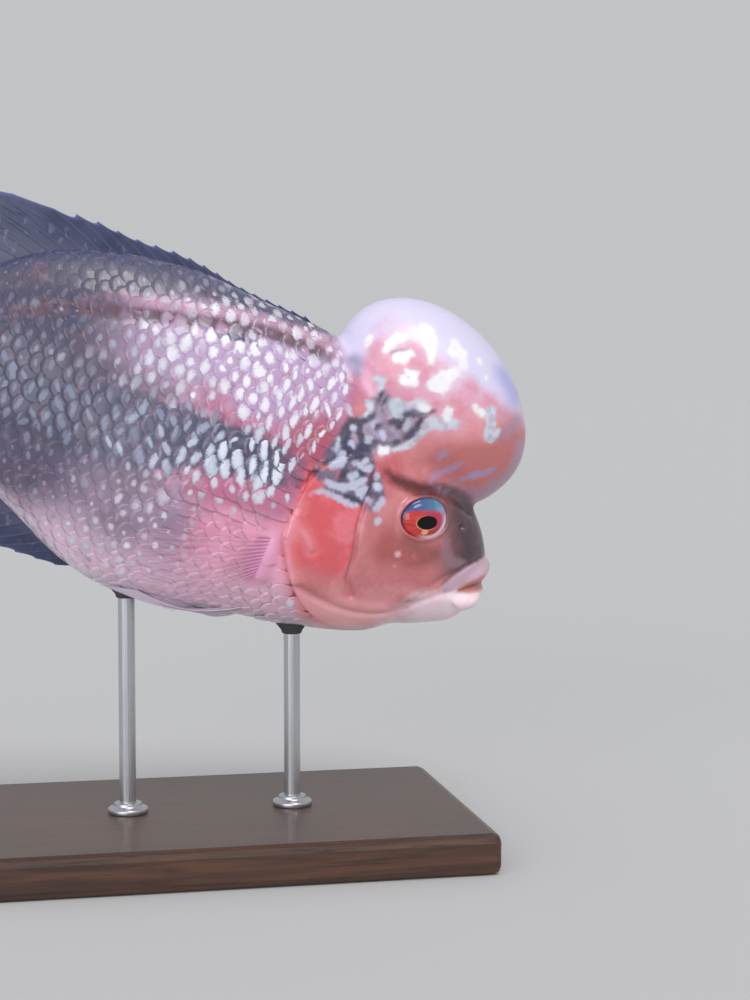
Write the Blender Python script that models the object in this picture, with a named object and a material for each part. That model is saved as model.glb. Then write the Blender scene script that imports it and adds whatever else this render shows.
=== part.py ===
"""A flowerhorn cichlid as a still, life-size model on a plain display stand.

The fish is modelled in its own frame, in millimetres: s runs back from the snout, y is the
fish's left and z is up. An empty then tips it nose down and lifts it onto the stand. World
units are metres, +X is the way the fish faces, and the origin is under the base's middle.
"""

import math

import bmesh
import bpy
from mathutils import Vector

MM = 0.001
GAP = 0.3

# The pose: nose down, the tail half swung gently to the fish's left
STANDARD_LENGTH = 208.0
NOSE_DOWN_DEG = 15.5
SNOUT_HEIGHT = 84.0
SNOUT_FORWARD = 84.0
BEND_START = 96.0
BEND_END = 236.0
BEND_DEG = 15.0

# s, height of the back, depth of the belly, half width, height of the widest point
STATIONS = {
    "lips": (2.0, 2.5, -7.5, 4.5, -3.0),
    "snout": (6.0, 10.5, -13.5, 9.5, -2.5),
    "nostril": (13.0, 19.5, -19.0, 13.4, -1.0),
    "eye": (26.0, 33.0, -26.5, 17.8, 1.0),
    "cheek": (44.0, 47.5, -31.0, 21.4, 3.0),
    "gill": (66.0, 55.5, -33.5, 23.8, 5.0),
    "shoulder": (90.0, 59.6, -34.5, 23.6, 8.0),
    "vent": (114.0, 63.0, -34.5, 20.8, 10.0),
    "anal_front": (127.0, 62.5, -30.5, 18.4, 12.0),
    "anal_middle": (150.0, 58.0, -17.0, 13.4, 15.0),
    "anal_rear": (175.0, 44.5, -4.5, 8.0, 16.0),
    "peduncle": (193.0, 34.5, -1.0, 5.4, 15.5),
    "tail_root": (STANDARD_LENGTH, 32.5, -2.5, 3.4, 15.0),
}
BODY_FRONT = STATIONS["lips"][0]
BACK_ROUNDNESS = 1.85
BELLY_ROUNDNESS = 2.25
RING_COUNT = 34
RING_CORNERS = 30
RING_CROWDING = 1.3
TAIL_CUT = 178.0

HUMP = {"centre": (31.6, 0.0, 45.2), "half_axes": (34.8, 22.5, 24.2), "pitch_deg": 31.0, "taper": 0.05}

EYE = {"centre": (28.8, 15.4, 9.5), "half_axes": (8.2, 4.8, 7.4), "turn_deg": 12.0}

# The mouth stands slightly open, and closes at its corner
MOUTH = {"corner": (11.5, -9.8), "top": 1.2, "opening": 3.8, "half_width": 9.3}
LIP = {"upper": (3.0, -0.4), "lower": (3.1, -8.1), "spread": 1.0, "radius": 2.9, "corner_radius": 1.9}

# Gill covers are cut this far in from the skin's side, to leave the head one piece
GILL_DEPTH = 9.0

# Heights are how far the folded spines stand above the back, at each s
DORSAL = {
    "start": 64.0, "end": 187.0, "spines": 17, "soft": 12, "root_depth": 5.0,
    "heights": {64.0: 1.6, 80.0: 1.8, 100.0: 2.7, 115.0: 4.8, 130.0: 10.2, 145.0: 15.2,
                157.0: 14.4, 175.0: 12.0},
    "lean": (26.0, 44.0), "soft_length": (28.0, 15.0), "last_angle": 12.0, "point": 40.0,
    "curl": 8.0, "thickness": 0.9, "wave": 0.8,
}
ANAL = {
    "start": 119.0, "end": 183.0, "spines": 7, "soft": 11, "root_depth": 4.0,
    "length": (9.0, 27.0), "angle": (22.0, 34.0), "soft_length": (28.0, 13.0), "last_angle": 8.0,
    "point": 34.0, "curl": 14.0, "thickness": 0.9, "wave": -1.2,
}
# Where the soft rays of both reach furthest back, and over how much of the soft part
POINT_AT = 0.45
POINT_SPREAD = 0.27
NOTCH = 0.9

CAUDAL = {"root": 203.0, "half_root": 15.5, "rays": 17, "length": 58.0, "spread": 27.0,
          "rounding": 0.22, "curl": 7.0, "thickness": 1.0, "wave": 2.4}
PECTORAL = {"top_root": (70.5, -7.0), "bottom_root": (72.5, -19.0), "sunk": 0.8, "rays": 13,
            "length": 47.0, "out_deg": 17.0, "angles": (-9.0, -36.0), "thickness": 0.8, "wave": 1.2}
PELVIC = {"root": (68.0, 11.0, -27.5), "tip": (119.0, 6.5, -35.0), "drop": 4.4, "width": 8.0,
          "rays": 8, "thickness": 1.0}

STAND = {"length": 150.0, "width": 100.0, "height": 12.0, "edge": 2.5, "rod_radius": 2.5,
         "rods": {"front": 22.0, "rear": -28.0}, "rod_into_fish": 40.0}

# Linear red, green and blue, and a roughness
COLOURS = {
    "flesh_red": ((0.62, 0.16, 0.17), 0.35),
    "hump_pink": ((0.74, 0.36, 0.40), 0.30),
    "lip_pale": ((0.72, 0.45, 0.50), 0.35),
    "scaled_skin": ((0.36, 0.25, 0.36), 0.35),
    "fin_blue": ((0.16, 0.18, 0.34), 0.40),
    "fin_clear": ((0.60, 0.40, 0.50), 0.40),
    "eye_red": ((0.60, 0.07, 0.05), 0.10),
    "stand_wood": ((0.045, 0.028, 0.020), 0.45),
    "stand_steel": ((0.55, 0.56, 0.58), 0.30),
}


def between(a, b, t):
    return a + (b - a) * min(max(t, 0.0), 1.0)


def hermite(xs, ys, x):
    """A smooth curve through the points that doesn't overshoot between them."""
    last = len(xs) - 1
    slopes = [(ys[i + 1] - ys[i]) / (xs[i + 1] - xs[i]) for i in range(last)]
    tangents = [slopes[0]] + [0.0] * (last - 1) + [slopes[-1]]
    for i in range(1, last):
        if slopes[i - 1] * slopes[i] > 0:
            tangents[i] = 2 * slopes[i - 1] * slopes[i] / (slopes[i - 1] + slopes[i])
    x = min(max(x, xs[0]), xs[-1])
    i = max(k for k in range(last) if xs[k] <= x)
    span = xs[i + 1] - xs[i]
    t = (x - xs[i]) / span
    return (
        (1 + 2 * t) * (1 - t) ** 2 * ys[i]
        + t * (1 - t) ** 2 * span * tangents[i]
        + t * t * (3 - 2 * t) * ys[i + 1]
        + t * t * (t - 1) * span * tangents[i + 1]
    )


def catmull_rom(p0, p1, p2, p3, steps):
    """Points from p1 up to just before p2."""
    points = []
    for step in range(steps):
        t = step / steps
        points.append(
            0.5 * (2 * p1 + (p2 - p0) * t + (2 * p0 - 5 * p1 + 4 * p2 - p3) * t * t
                   + (3 * p1 - p0 - 3 * p2 + p3) * t**3)
        )
    return points


def closed_curve(points, steps):
    points = [Vector(p) for p in points]
    count, curve = len(points), []
    for i in range(count):
        curve += catmull_rom(*(points[(i + k) % count] for k in (-1, 0, 1, 2)), steps)
    return curve


def open_curve(points, steps):
    points = [Vector(p) for p in points]
    ends = [points[0]] + points + [points[-1]]
    curve = []
    for i in range(1, len(ends) - 2):
        curve += catmull_rom(*ends[i - 1:i + 3], steps)
    return curve + [points[-1]]


def section(s):
    """Back height, belly depth, half width and height of the widest point at s."""
    rows = list(STATIONS.values())
    xs = [row[0] for row in rows]
    return [hermite(xs, [row[k] for row in rows], s) for k in range(1, 5)]


def slope_deg(s):
    """How steeply the back rises towards the tail at s."""
    return math.degrees(math.atan2(section(s + 2)[0] - section(s - 2)[0], 4.0))


def bend_angle(s):
    t = min(max((s - BEND_START) / (BEND_END - BEND_START), 0.0), 1.0)
    return math.radians(BEND_DEG) * t * t * (3 - 2 * t)


def centreline(s, step=2.0):
    """Where the bent midline is at s, and its heading."""
    x, y, at = -min(s, BEND_START), 0.0, BEND_START
    while at < s:
        ahead = min(step, s - at)
        angle = bend_angle(at + ahead / 2)
        x -= ahead * math.cos(angle)
        y += ahead * math.sin(angle)
        at += ahead
    return x, y, bend_angle(s)


def place(s, y, z):
    """A point of the fish, bent and in metres, in the frame of the pose empty."""
    x, y0, angle = centreline(s)
    return Vector((x + y * math.sin(angle), y0 + y * math.cos(angle), z)) * MM


def signed_power(value, exponent):
    return math.copysign(abs(value) ** exponent, value)


def body_point(s, turn, grow=0.0):
    """A point of the body's skin; turn runs round the section from the fish's left."""
    top, bottom, width, middle = section(s)
    c, sn = math.cos(turn), math.sin(turn)
    if sn >= 0:
        power, height = 2 / BACK_ROUNDNESS, top - middle
    else:
        power, height = 2 / BELLY_ROUNDNESS, middle - bottom
    return (
        s,
        signed_power(c, power) * (width + grow),
        middle + signed_power(sn, power) * (height + grow),
    )


def body_width(s, z):
    """Half width of the body at s and height z."""
    top, bottom, width, middle = section(s)
    power = BACK_ROUNDNESS if z >= middle else BELLY_ROUNDNESS
    height = top - middle if z >= middle else middle - bottom
    share = min(abs(z - middle) / height, 1.0)
    return width * (1 - share**power) ** (1 / power)


def material(name):
    colour, roughness = COLOURS[name]
    found = bpy.data.materials.get(name)
    if found is None:
        found = bpy.data.materials.new(name)
        found.use_nodes = True
        shader = found.node_tree.nodes["Principled BSDF"]
        shader.inputs["Base Color"].default_value = (*colour, 1.0)
        shader.inputs["Roughness"].default_value = roughness
        shader.inputs["Metallic"].default_value = 1.0 if name == "stand_steel" else 0.0
        found.diffuse_color = (*colour, 1.0)
    return found


def new_object(name, mesh, pose, finish=None):
    """A fish part; one with no finish is a cutter."""
    obj = bpy.data.objects.new(name, mesh)
    bpy.context.scene.collection.objects.link(obj)
    obj.parent = pose
    if finish:
        mesh.materials.append(material(finish))
    else:
        obj.hide_render = True
        obj.display_type = "WIRE"
    return obj


def mesh_from_bmesh(name, bm):
    bmesh.ops.recalc_face_normals(bm, faces=bm.faces)
    mesh = bpy.data.meshes.new(name)
    bm.to_mesh(mesh)
    bm.free()
    mesh.shade_smooth()
    return mesh


def loft(name, rings):
    """A closed solid over rings of points."""
    bm = bmesh.new()
    verts = [[bm.verts.new(place(*p)) for p in ring] for ring in rings]
    for front, back in zip(verts, verts[1:]):
        for k in range(len(front)):
            n = (k + 1) % len(front)
            bm.faces.new((front[k], front[n], back[n], back[k]))
    bm.faces.new(verts[0])
    bm.faces.new(reversed(verts[-1]))
    return mesh_from_bmesh(name, bm)


def body_mesh(name, grow=0.0):
    """The whole trunk, head and tail stem as one loft with closed ends."""
    rings = []
    for i in range(RING_COUNT + 1):
        s = between(BODY_FRONT, STANDARD_LENGTH, (i / RING_COUNT) ** RING_CROWDING)
        ring = [body_point(s, math.tau * k / RING_CORNERS, grow) for k in range(RING_CORNERS)]
        if i in (0, RING_COUNT):
            along = s + math.copysign(grow, i - 1)
            ring = [(along, y, z) for _, y, z in ring]
        rings.append(ring)
    return loft(name, rings)


def ellipsoid(name, centre, half_axes, pitch_deg=0.0, turn_deg=0.0, taper=0.0, grow=0.0, detail=(24, 14)):
    """An ellipsoid in the fish's frame; pitch tips its front down, turn swings it to the left.

    Taper makes it narrower at the front and fuller at the back.
    """
    bm = bmesh.new()
    bmesh.ops.create_uvsphere(bm, u_segments=detail[0], v_segments=detail[1], radius=1.0)
    pitch, turn = math.radians(pitch_deg), math.radians(turn_deg)
    for vert in bm.verts:
        fuller = 1 - taper * vert.co.x
        s, y, z = (-vert.co.x * (half_axes[0] + grow), vert.co.y * (half_axes[1] * fuller + grow),
                   vert.co.z * (half_axes[2] * fuller + grow))
        s, z = s * math.cos(pitch) - z * math.sin(pitch), s * math.sin(pitch) + z * math.cos(pitch)
        s, y = s * math.cos(turn) - y * math.sin(turn), s * math.sin(turn) + y * math.cos(turn)
        vert.co = place(centre[0] + s, centre[1] + y, centre[2] + z)
    return mesh_from_bmesh(name, bm)


def grown_outline(outline, grow):
    """The closed outline in s and z, moved out by grow along its normals."""
    count = len(outline)
    area = sum(a.x * b.y - b.x * a.y for a, b in zip(outline, outline[1:] + outline[:1]))
    side = math.copysign(grow, area)
    moved = []
    for i in range(count):
        along = (outline[(i + 1) % count] - outline[i - 1]).normalized()
        moved.append(outline[i] + Vector((along.y, -along.x)) * side)
    return moved


def region(name, outline, low, high, pose, grow=0.0):
    """A cutter: the outline in s and z, extruded across the fish from y low to high."""
    outline = [Vector(p) for p in outline]
    loop = grown_outline(outline, grow) if grow else outline
    bm = bmesh.new()
    verts = [bm.verts.new(place(p.x, 0.0, p.y)) for p in loop]
    for vert in verts:
        vert.co.y = low * MM
    moved = bmesh.ops.extrude_face_region(bm, geom=[bm.faces.new(verts)])["geom"]
    for vert in (g for g in moved if isinstance(g, bmesh.types.BMVert)):
        vert.co.y = high * MM
    return new_object(name, mesh_from_bmesh(name, bm), pose)


def boolean(obj, other, operation="DIFFERENCE"):
    modifier = obj.modifiers.new(f"{operation.lower()} {other.name}", "BOOLEAN")
    modifier.operation = operation
    modifier.object = other
    modifier.solver = "EXACT"


def head_outline():
    """Everything in front of the gill opening, from the nape to the throat."""
    edge = [(50, -37), (56, -29), (65, -19), (70, -6), (69.5, 7), (64, 21), (60, 36), (61.5, 56)]
    return [(-12, 95), (-12, -60), (46, -60)] + open_curve(edge, 4) + [(66, 95)]


def gill_outline():
    """The gill cover, between the groove behind the cheek and its free edge."""
    return closed_curve([(46.5, 18), (54.5, 21.5), (62.5, 17), (67.8, 7), (68.3, -6), (63.5, -18),
                         (55, -26.8), (46, -29), (44.4, -17), (44.8, 2)], 4)


def jaw_outline(top):
    """The lower jaw, in front of the throat and below a line from the mouth's corner to its front."""
    return [(-9, top), MOUTH["corner"], (18, -17), (25, -24), (28, -40), (-9, -40)]


def lip_mesh(name, which, grow=0.0, corners=8, steps=4):
    """A lip: a tube round the front of the mouth, from one corner to the other."""
    front, side = LIP[which], LIP["spread"] * (1 if which == "upper" else -1)
    (s, z), width = MOUTH["corner"], MOUTH["half_width"]
    half = [(s + 1.0, width, z + side),
            (between(front[0], s, 0.35), 0.85 * width, between(front[1], z, 0.45) + side),
            (front[0] + 1.3, 0.45 * width, between(front[1], z, 0.12)),
            (front[0], 0.0, front[1])]
    path = open_curve(half + [(p[0], -p[1], p[2]) for p in reversed(half[:-1])], steps)
    rings = []
    for i, p in enumerate(path):
        ahead = path[min(i + 1, len(path) - 1)] - path[max(i - 1, 0)]
        across = Vector((0, 0, 1)).cross(ahead).normalized()
        up = ahead.cross(across).normalized()
        fullness = 1.6 * (1 - abs(2 * i / (len(path) - 1) - 1))
        radius = between(LIP["corner_radius"], LIP["radius"], fullness) + grow
        turns = [math.tau * k / corners for k in range(corners)]
        rings.append([p + across * math.cos(a) * radius * 1.1 + up * math.sin(a) * radius for a in turns])
    return loft(name, rings)


def eye_mesh(name, side, grow=0.0):
    s, y, z = EYE["centre"]
    return ellipsoid(name, (s, side * y, z), EYE["half_axes"], turn_deg=side * EYE["turn_deg"],
                     grow=grow, detail=(16, 9))


def head_nodes(pose, clearance):
    """Head, hump, jaws, gill covers and eyes, parted from one body by thin cuts."""
    head_region = region("cut_head", head_outline(), -60, 60, pose)
    jaw_region = region("cut_jaw", jaw_outline(MOUTH["top"] - MOUTH["opening"]), -40, 40, pose)
    jaw_room = region("cut_jaw_room", jaw_outline(MOUTH["top"]), -41, 41, pose, GAP)
    upper_room = new_object("cut_lip_upper", lip_mesh("cut_lip_upper", "upper", GAP), pose)

    head = new_object("head", body_mesh("head"), pose, "flesh_red")
    boolean(head, head_region, "INTERSECT")
    boolean(head, jaw_room)
    boolean(head, upper_room)

    jaw = new_object("lower_jaw", body_mesh("lower_jaw"), pose, "lip_pale")
    boolean(jaw, new_object("join_lip_lower", lip_mesh("join_lip_lower", "lower"), pose), "UNION")
    boolean(jaw, jaw_region, "INTERSECT")
    boolean(jaw, upper_room)

    new_object("upper_lip", lip_mesh("upper_lip", "upper"), pose, "lip_pale")
    hump = new_object("nuchal_hump", ellipsoid("nuchal_hump", **HUMP), pose, "hump_pink")
    boolean(hump, clearance)

    for side, word in ((1, "left"), (-1, "right")):
        gill_and_eye(side, word, pose, head, jaw_room)


def gill_and_eye(side, word, pose, head, jaw_room):
    low, high = sorted((side * GILL_DEPTH, side * 40.0))
    room_low, room_high = sorted((side * (GILL_DEPTH - GAP), side * 41.0))
    cover_region = region(f"cut_gill_{word}", gill_outline(), low, high, pose)
    boolean(head, region(f"cut_gill_room_{word}", gill_outline(), room_low, room_high, pose, GAP))
    cover = new_object(f"gill_cover_{word}", body_mesh(f"gill_cover_{word}"), pose, "flesh_red")
    boolean(cover, cover_region, "INTERSECT")
    boolean(cover, jaw_room)
    boolean(head, new_object(f"cut_eye_{word}", eye_mesh(f"cut_eye_{word}", side, GAP), pose))
    new_object(f"eye_{word}", eye_mesh(f"eye_{word}", side), pose, "eye_red")


def trunk_nodes(pose):
    head_room = region("cut_head_room", head_outline(), -62, 62, pose, GAP)
    tail_edge = [(TAIL_CUT, -60), (TAIL_CUT, 90), (260, 90), (260, -60)]
    trunk = new_object("trunk", body_mesh("trunk"), pose, "scaled_skin")
    boolean(trunk, head_room)
    boolean(trunk, region("cut_tail_room", tail_edge, -62, 92, pose, GAP))
    stem = new_object("tail_stem", body_mesh("tail_stem"), pose, "scaled_skin")
    boolean(stem, region("cut_tail", tail_edge, -60, 90, pose), "INTERSECT")


def fin_sheet(name, rays, rows, wave):
    """A sheet over a row of rays; each ray is a function from 0 at its root to 1 at its tip."""
    bm = bmesh.new()
    grid = []
    for i, ray in enumerate(rays):
        sway = wave * math.sin(2.1 * math.pi * i / len(rays))
        column = []
        for j in range(rows + 1):
            s, y, z = ray(j / rows)
            column.append(bm.verts.new(place(s, y + sway * (j / rows) ** 2, z)))
        grid.append(column)
    for first, second in zip(grid, grid[1:]):
        for j in range(rows):
            bm.faces.new((first[j], second[j], second[j + 1], first[j + 1]))
    return mesh_from_bmesh(name, bm)


def fin_node(name, rays, rows, thickness, finish, pose, clearance, wave=0.0):
    fin = new_object(name, fin_sheet(name, rays, rows, wave), pose, finish)
    solid = fin.modifiers.new("thickness", "SOLIDIFY")
    solid.thickness = thickness * MM
    solid.offset = 0.0
    solid.use_even_offset = False
    boolean(fin, clearance)


def leaning_ray(root_s, root_z, length, angle_deg, curl_deg, side=1.0):
    """A ray in the middle plane; angle is its rise over the way back, and it curls over."""

    def at(t):
        angle = math.radians(angle_deg - curl_deg * t / 2)
        return (root_s + length * t * math.cos(angle), 0.0,
                root_z + side * length * t * math.sin(angle))

    return at


def halfway(first, second, share):
    def at(t):
        return tuple((a + b) / 2 for a, b in zip(first(share * t), second(share * t)))

    return at


def notched(rays, spines):
    """The rays with a shorter one after each spine, where the edge of the membrane dips."""
    whole = []
    for i, ray in enumerate(rays):
        whole.append(ray)
        if i < spines - 1:
            whole.append(halfway(ray, rays[i + 1], NOTCH))
    return whole


def soft_ray(fin, soft, angle):
    """Length and angle of a soft ray; those near the middle draw out the fin's trailing point."""
    peak = math.exp(-(((soft - POINT_AT) / POINT_SPREAD) ** 2))
    return (between(*fin["soft_length"], soft) + fin["point"] * peak,
            between(angle, fin["last_angle"], soft**0.8))


def dorsal_rays():
    """Spines folded back behind the hump, then the soft rays with their trailing point."""
    total = DORSAL["spines"] + DORSAL["soft"]
    places, heights = list(DORSAL["heights"]), list(DORSAL["heights"].values())
    rays = []
    for i in range(total):
        s = between(DORSAL["start"], DORSAL["end"], i / (total - 1))
        root = section(s)[0] - DORSAL["root_depth"]
        soft = (i - DORSAL["spines"] + 1) / DORSAL["soft"]
        lean = between(*DORSAL["lean"], i / DORSAL["spines"])
        length = (hermite(places, heights, s) + DORSAL["root_depth"]) / math.sin(math.radians(lean))
        angle = lean + slope_deg(s)
        if soft > 0:
            length, angle = soft_ray(DORSAL, soft, angle)
        rays.append(leaning_ray(s, root, length, angle, DORSAL["curl"]))
    return notched(rays, DORSAL["spines"])


def anal_rays():
    total = ANAL["spines"] + ANAL["soft"]
    rays = []
    for i in range(total):
        s = between(ANAL["start"], ANAL["end"], i / (total - 1))
        root = section(s)[1] + ANAL["root_depth"]
        soft = (i - ANAL["spines"] + 1) / ANAL["soft"]
        length = between(*ANAL["length"], (i + 0.5) / ANAL["spines"])
        angle = between(*ANAL["angle"], i / ANAL["spines"])
        if soft > 0:
            length, angle = soft_ray(ANAL, soft, angle)
        rays.append(leaning_ray(s, root, length, angle, ANAL["curl"], side=-1.0))
    return notched(rays, ANAL["spines"])


def caudal_rays():
    """The round tail fan, over the full depth of the tail's root."""
    middle = section(STANDARD_LENGTH)[3]
    rays = []
    for i in range(CAUDAL["rays"]):
        across = 2 * i / (CAUDAL["rays"] - 1) - 1
        length = CAUDAL["length"] * (1 - CAUDAL["rounding"] * across**4)
        rays.append(leaning_ray(CAUDAL["root"], middle + CAUDAL["half_root"] * across, length,
                                CAUDAL["spread"] * across, -CAUDAL["curl"] * across))
    return rays


def paired_ray(root, length, angle, out, side, bow=0.16):
    """A ray of a side fin, bowed so that its tip turns back along the body."""

    def at(t):
        turn = out * (1 - bow * 3 * t)
        return (
            root[0] + length * t * math.cos(angle) * math.cos(turn),
            side * (root[1] + length * t * math.sin(turn)),
            root[2] + length * t * math.sin(angle) * math.cos(turn),
        )

    return at


def pectoral_rays(side):
    """The side fin, held back along the flank and standing a little off it."""
    rays = []
    for i in range(PECTORAL["rays"]):
        t = i / (PECTORAL["rays"] - 1)
        s, z = (between(a, b, t) for a, b in zip(PECTORAL["top_root"], PECTORAL["bottom_root"]))
        root = (s, body_width(s, z) - PECTORAL["sunk"], z)
        length = PECTORAL["length"] * (1 - 0.40 * t**1.6 - 0.14 * (1 - t) ** 3)
        rays.append(paired_ray(root, length, math.radians(between(*PECTORAL["angles"], t)),
                               math.radians(PECTORAL["out_deg"]), side))
    return rays


def drooping_ray(root, tip, drop, side):
    def at(t):
        p = root.lerp(tip, t)
        return p.x, side * p.y, p.z - drop * math.sin(math.pi * t)

    return at


def pelvic_rays(side):
    """A belly fin folded back under the belly, long outside and short inside."""
    (s, y, z), (tip_s, tip_y, tip_z) = PELVIC["root"], PELVIC["tip"]
    rays = []
    for i in range(PELVIC["rays"]):
        t = i / (PELVIC["rays"] - 1)
        reach = 0.72 if i == 0 else 1.0 - 0.55 * t
        root = Vector((s + 2.0 * t, y - PELVIC["width"] * t, z - 3.0 * t))
        tip = Vector((tip_s, tip_y - 4.0 * t, tip_z + 2.0 * t))
        rays.append(drooping_ray(root, root.lerp(tip, reach), PELVIC["drop"], side))
    return rays


def fin_nodes(pose, clearance):
    fin_node("dorsal_fin", dorsal_rays(), 4, DORSAL["thickness"], "fin_blue", pose, clearance, DORSAL["wave"])
    fin_node("anal_fin", anal_rays(), 4, ANAL["thickness"], "fin_blue", pose, clearance, ANAL["wave"])
    fin_node("caudal_fin", caudal_rays(), 5, CAUDAL["thickness"], "fin_blue", pose, clearance, CAUDAL["wave"])
    for side, word in ((1, "left"), (-1, "right")):
        fin_node(f"pectoral_fin_{word}", pectoral_rays(side), 5, PECTORAL["thickness"], "fin_clear",
                 pose, clearance, side * PECTORAL["wave"])
        fin_node(f"pelvic_fin_{word}", pelvic_rays(side), 4, PELVIC["thickness"], "fin_clear",
                 pose, clearance)


def stand_nodes(clearance):
    """A flat wooden base and two steel rods that end at the belly."""
    bpy.ops.mesh.primitive_cube_add(size=1.0, location=(0, 0, STAND["height"] / 2 * MM))
    base = bpy.context.object
    base.name = "stand_base"
    base.scale = (STAND["length"] * MM, STAND["width"] * MM, STAND["height"] * MM)
    bpy.ops.object.transform_apply(location=False, rotation=False, scale=True)
    base.data.materials.append(material("stand_wood"))
    bevel = base.modifiers.new("eased edges", "BEVEL")
    bevel.width = STAND["edge"] * MM
    bevel.segments = 2
    foot = STAND["height"] + GAP
    top = SNOUT_HEIGHT + STAND["rod_into_fish"]
    for word, x in STAND["rods"].items():
        bpy.ops.mesh.primitive_cylinder_add(
            vertices=20, radius=STAND["rod_radius"] * MM, depth=(top - foot) * MM,
            location=(x * MM, 0, (top + foot) / 2 * MM),
        )
        rod = bpy.context.object
        rod.name = f"stand_rod_{word}"
        rod.data.materials.append(material("stand_steel"))
        rod.data.shade_smooth()
        boolean(rod, clearance)


def main():
    for obj in list(bpy.data.objects):
        bpy.data.objects.remove(obj)
    pose = bpy.data.objects.new("fish_pose", None)
    bpy.context.scene.collection.objects.link(pose)
    pose.location = (SNOUT_FORWARD * MM, 0, SNOUT_HEIGHT * MM)
    pose.rotation_euler = (0, math.radians(NOSE_DOWN_DEG), 0)
    bpy.context.view_layer.update()

    clearance = new_object("cut_body", body_mesh("cut_body", GAP), pose)
    head_nodes(pose, clearance)
    trunk_nodes(pose)
    fin_nodes(pose, clearance)
    stand_nodes(clearance)


main()
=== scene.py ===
import math

import bmesh
import bpy
import numpy as np
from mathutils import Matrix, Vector


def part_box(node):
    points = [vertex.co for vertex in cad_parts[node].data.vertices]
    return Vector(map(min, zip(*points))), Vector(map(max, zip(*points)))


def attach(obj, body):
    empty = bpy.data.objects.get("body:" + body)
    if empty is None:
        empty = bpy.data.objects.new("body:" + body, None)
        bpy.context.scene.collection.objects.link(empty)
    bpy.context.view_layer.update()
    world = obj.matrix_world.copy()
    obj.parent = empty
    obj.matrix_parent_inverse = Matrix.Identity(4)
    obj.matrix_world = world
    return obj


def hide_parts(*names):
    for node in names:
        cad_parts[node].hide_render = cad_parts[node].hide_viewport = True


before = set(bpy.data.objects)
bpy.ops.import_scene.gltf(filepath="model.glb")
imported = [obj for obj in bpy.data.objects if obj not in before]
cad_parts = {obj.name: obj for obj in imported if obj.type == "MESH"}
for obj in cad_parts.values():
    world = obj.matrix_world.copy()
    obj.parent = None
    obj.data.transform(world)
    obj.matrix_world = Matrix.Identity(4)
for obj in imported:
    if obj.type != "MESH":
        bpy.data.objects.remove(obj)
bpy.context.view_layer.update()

mm = 0.001

# The fish is shaped straight and level, in millimetres: s runs back from the snout, y is its left, z is up.
# pose then swings the tail, tips the nose down and lifts the fish onto its stand, as the frame has it.
pose = {"noseDown": 15.5, "forward": 84.0, "height": 84.0,
        "bendStart": 96.0, "bendEnd": 236.0, "bend": 15.0}

# s, back, belly, half width and height of the widest point
bodyShape = {
    "stations": [
        (2.0, 2.5, -7.5, 4.5, -3.0), (6.0, 10.5, -13.5, 9.5, -2.5), (13.0, 19.5, -19.0, 13.4, -1.0),
        (26.0, 33.0, -26.5, 17.8, 1.0), (44.0, 47.5, -31.0, 21.4, 3.0), (66.0, 55.5, -33.5, 23.8, 5.0),
        (90.0, 59.6, -34.5, 23.6, 8.0), (114.0, 63.0, -34.5, 20.8, 10.0), (127.0, 62.5, -30.5, 18.4, 12.0),
        (150.0, 58.0, -17.0, 13.4, 15.0), (175.0, 44.5, -4.5, 8.0, 16.0), (193.0, 34.5, -1.0, 5.4, 15.5),
        (208.0, 32.5, -2.5, 3.4, 15.0),
    ],
    "backRoundness": 1.85,
    "bellyRoundness": 2.25,
    "coatDepth": 0.55,      # how far the skin lies under the scales' tips
    "voxel": 0.64,
}
humpShape = {
    "centre": (31.6, 45.2), "halfAxes": (34.8, 22.5, 24.2), "pitch": 31.0, "taper": 0.05,
    # its lower front hangs a little over the snout
    "sagAt": (13.0, 18.5), "sagReach": 9.0, "sag": (-0.8, -2.8),
}
eyeShape = {"centre": (28.8, 15.4, 9.5), "halfAxes": (8.2, 4.8, 7.4), "turn": 12.0}
mouthShape = {
    "corner": (11.5, -9.8), "front": -9.0, "top": 1.2, "bottom": -2.6, "halfWidth": 9.3,
    "upper": (3.0, -0.4), "lower": (3.1, -8.1), "spread": 1.0, "radius": 2.9, "cornerRadius": 1.9,
}


def smoothStep(low, high, x):
    t = np.clip((x - low) / (high - low), 0.0, 1.0)
    return t * t * (3.0 - 2.0 * t)


def bump(x, width):
    return np.exp(-((x / width) ** 2))


def monotoneCurve(xs, ys, x):
    # smooth through the points, with no overshoot between them
    xs, ys = np.array(xs, float), np.array(ys, float)
    slopes = np.diff(ys) / np.diff(xs)
    product = slopes[:-1] * slopes[1:]
    total = np.where(product > 0, slopes[:-1] + slopes[1:], 1.0)
    inner = np.where(product > 0, 2.0 * product / total, 0.0)
    tangents = np.concatenate([slopes[:1], inner, slopes[-1:]])
    x = np.clip(x, xs[0], xs[-1])
    i = np.clip(np.searchsorted(xs, x, side="right") - 1, 0, len(slopes) - 1)
    span = xs[i + 1] - xs[i]
    t = (x - xs[i]) / span
    return ((1 + 2 * t) * (1 - t) ** 2 * ys[i] + t * (1 - t) ** 2 * span * tangents[i]
            + t * t * (3 - 2 * t) * ys[i + 1] + t * t * (t - 1) * span * tangents[i + 1])


stationTable = np.array(bodyShape["stations"])


def section(s):
    # back, belly, half width and height of the widest point at s
    return [monotoneCurve(stationTable[:, 0], stationTable[:, k], s) for k in range(1, 5)]


def halfSection(upper, top, bottom, middle):
    # the roundness and the height of a section's upper or lower half
    roundness = np.where(upper, bodyShape["backRoundness"], bodyShape["bellyRoundness"])
    return roundness, np.where(upper, top - middle, middle - bottom)


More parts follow.
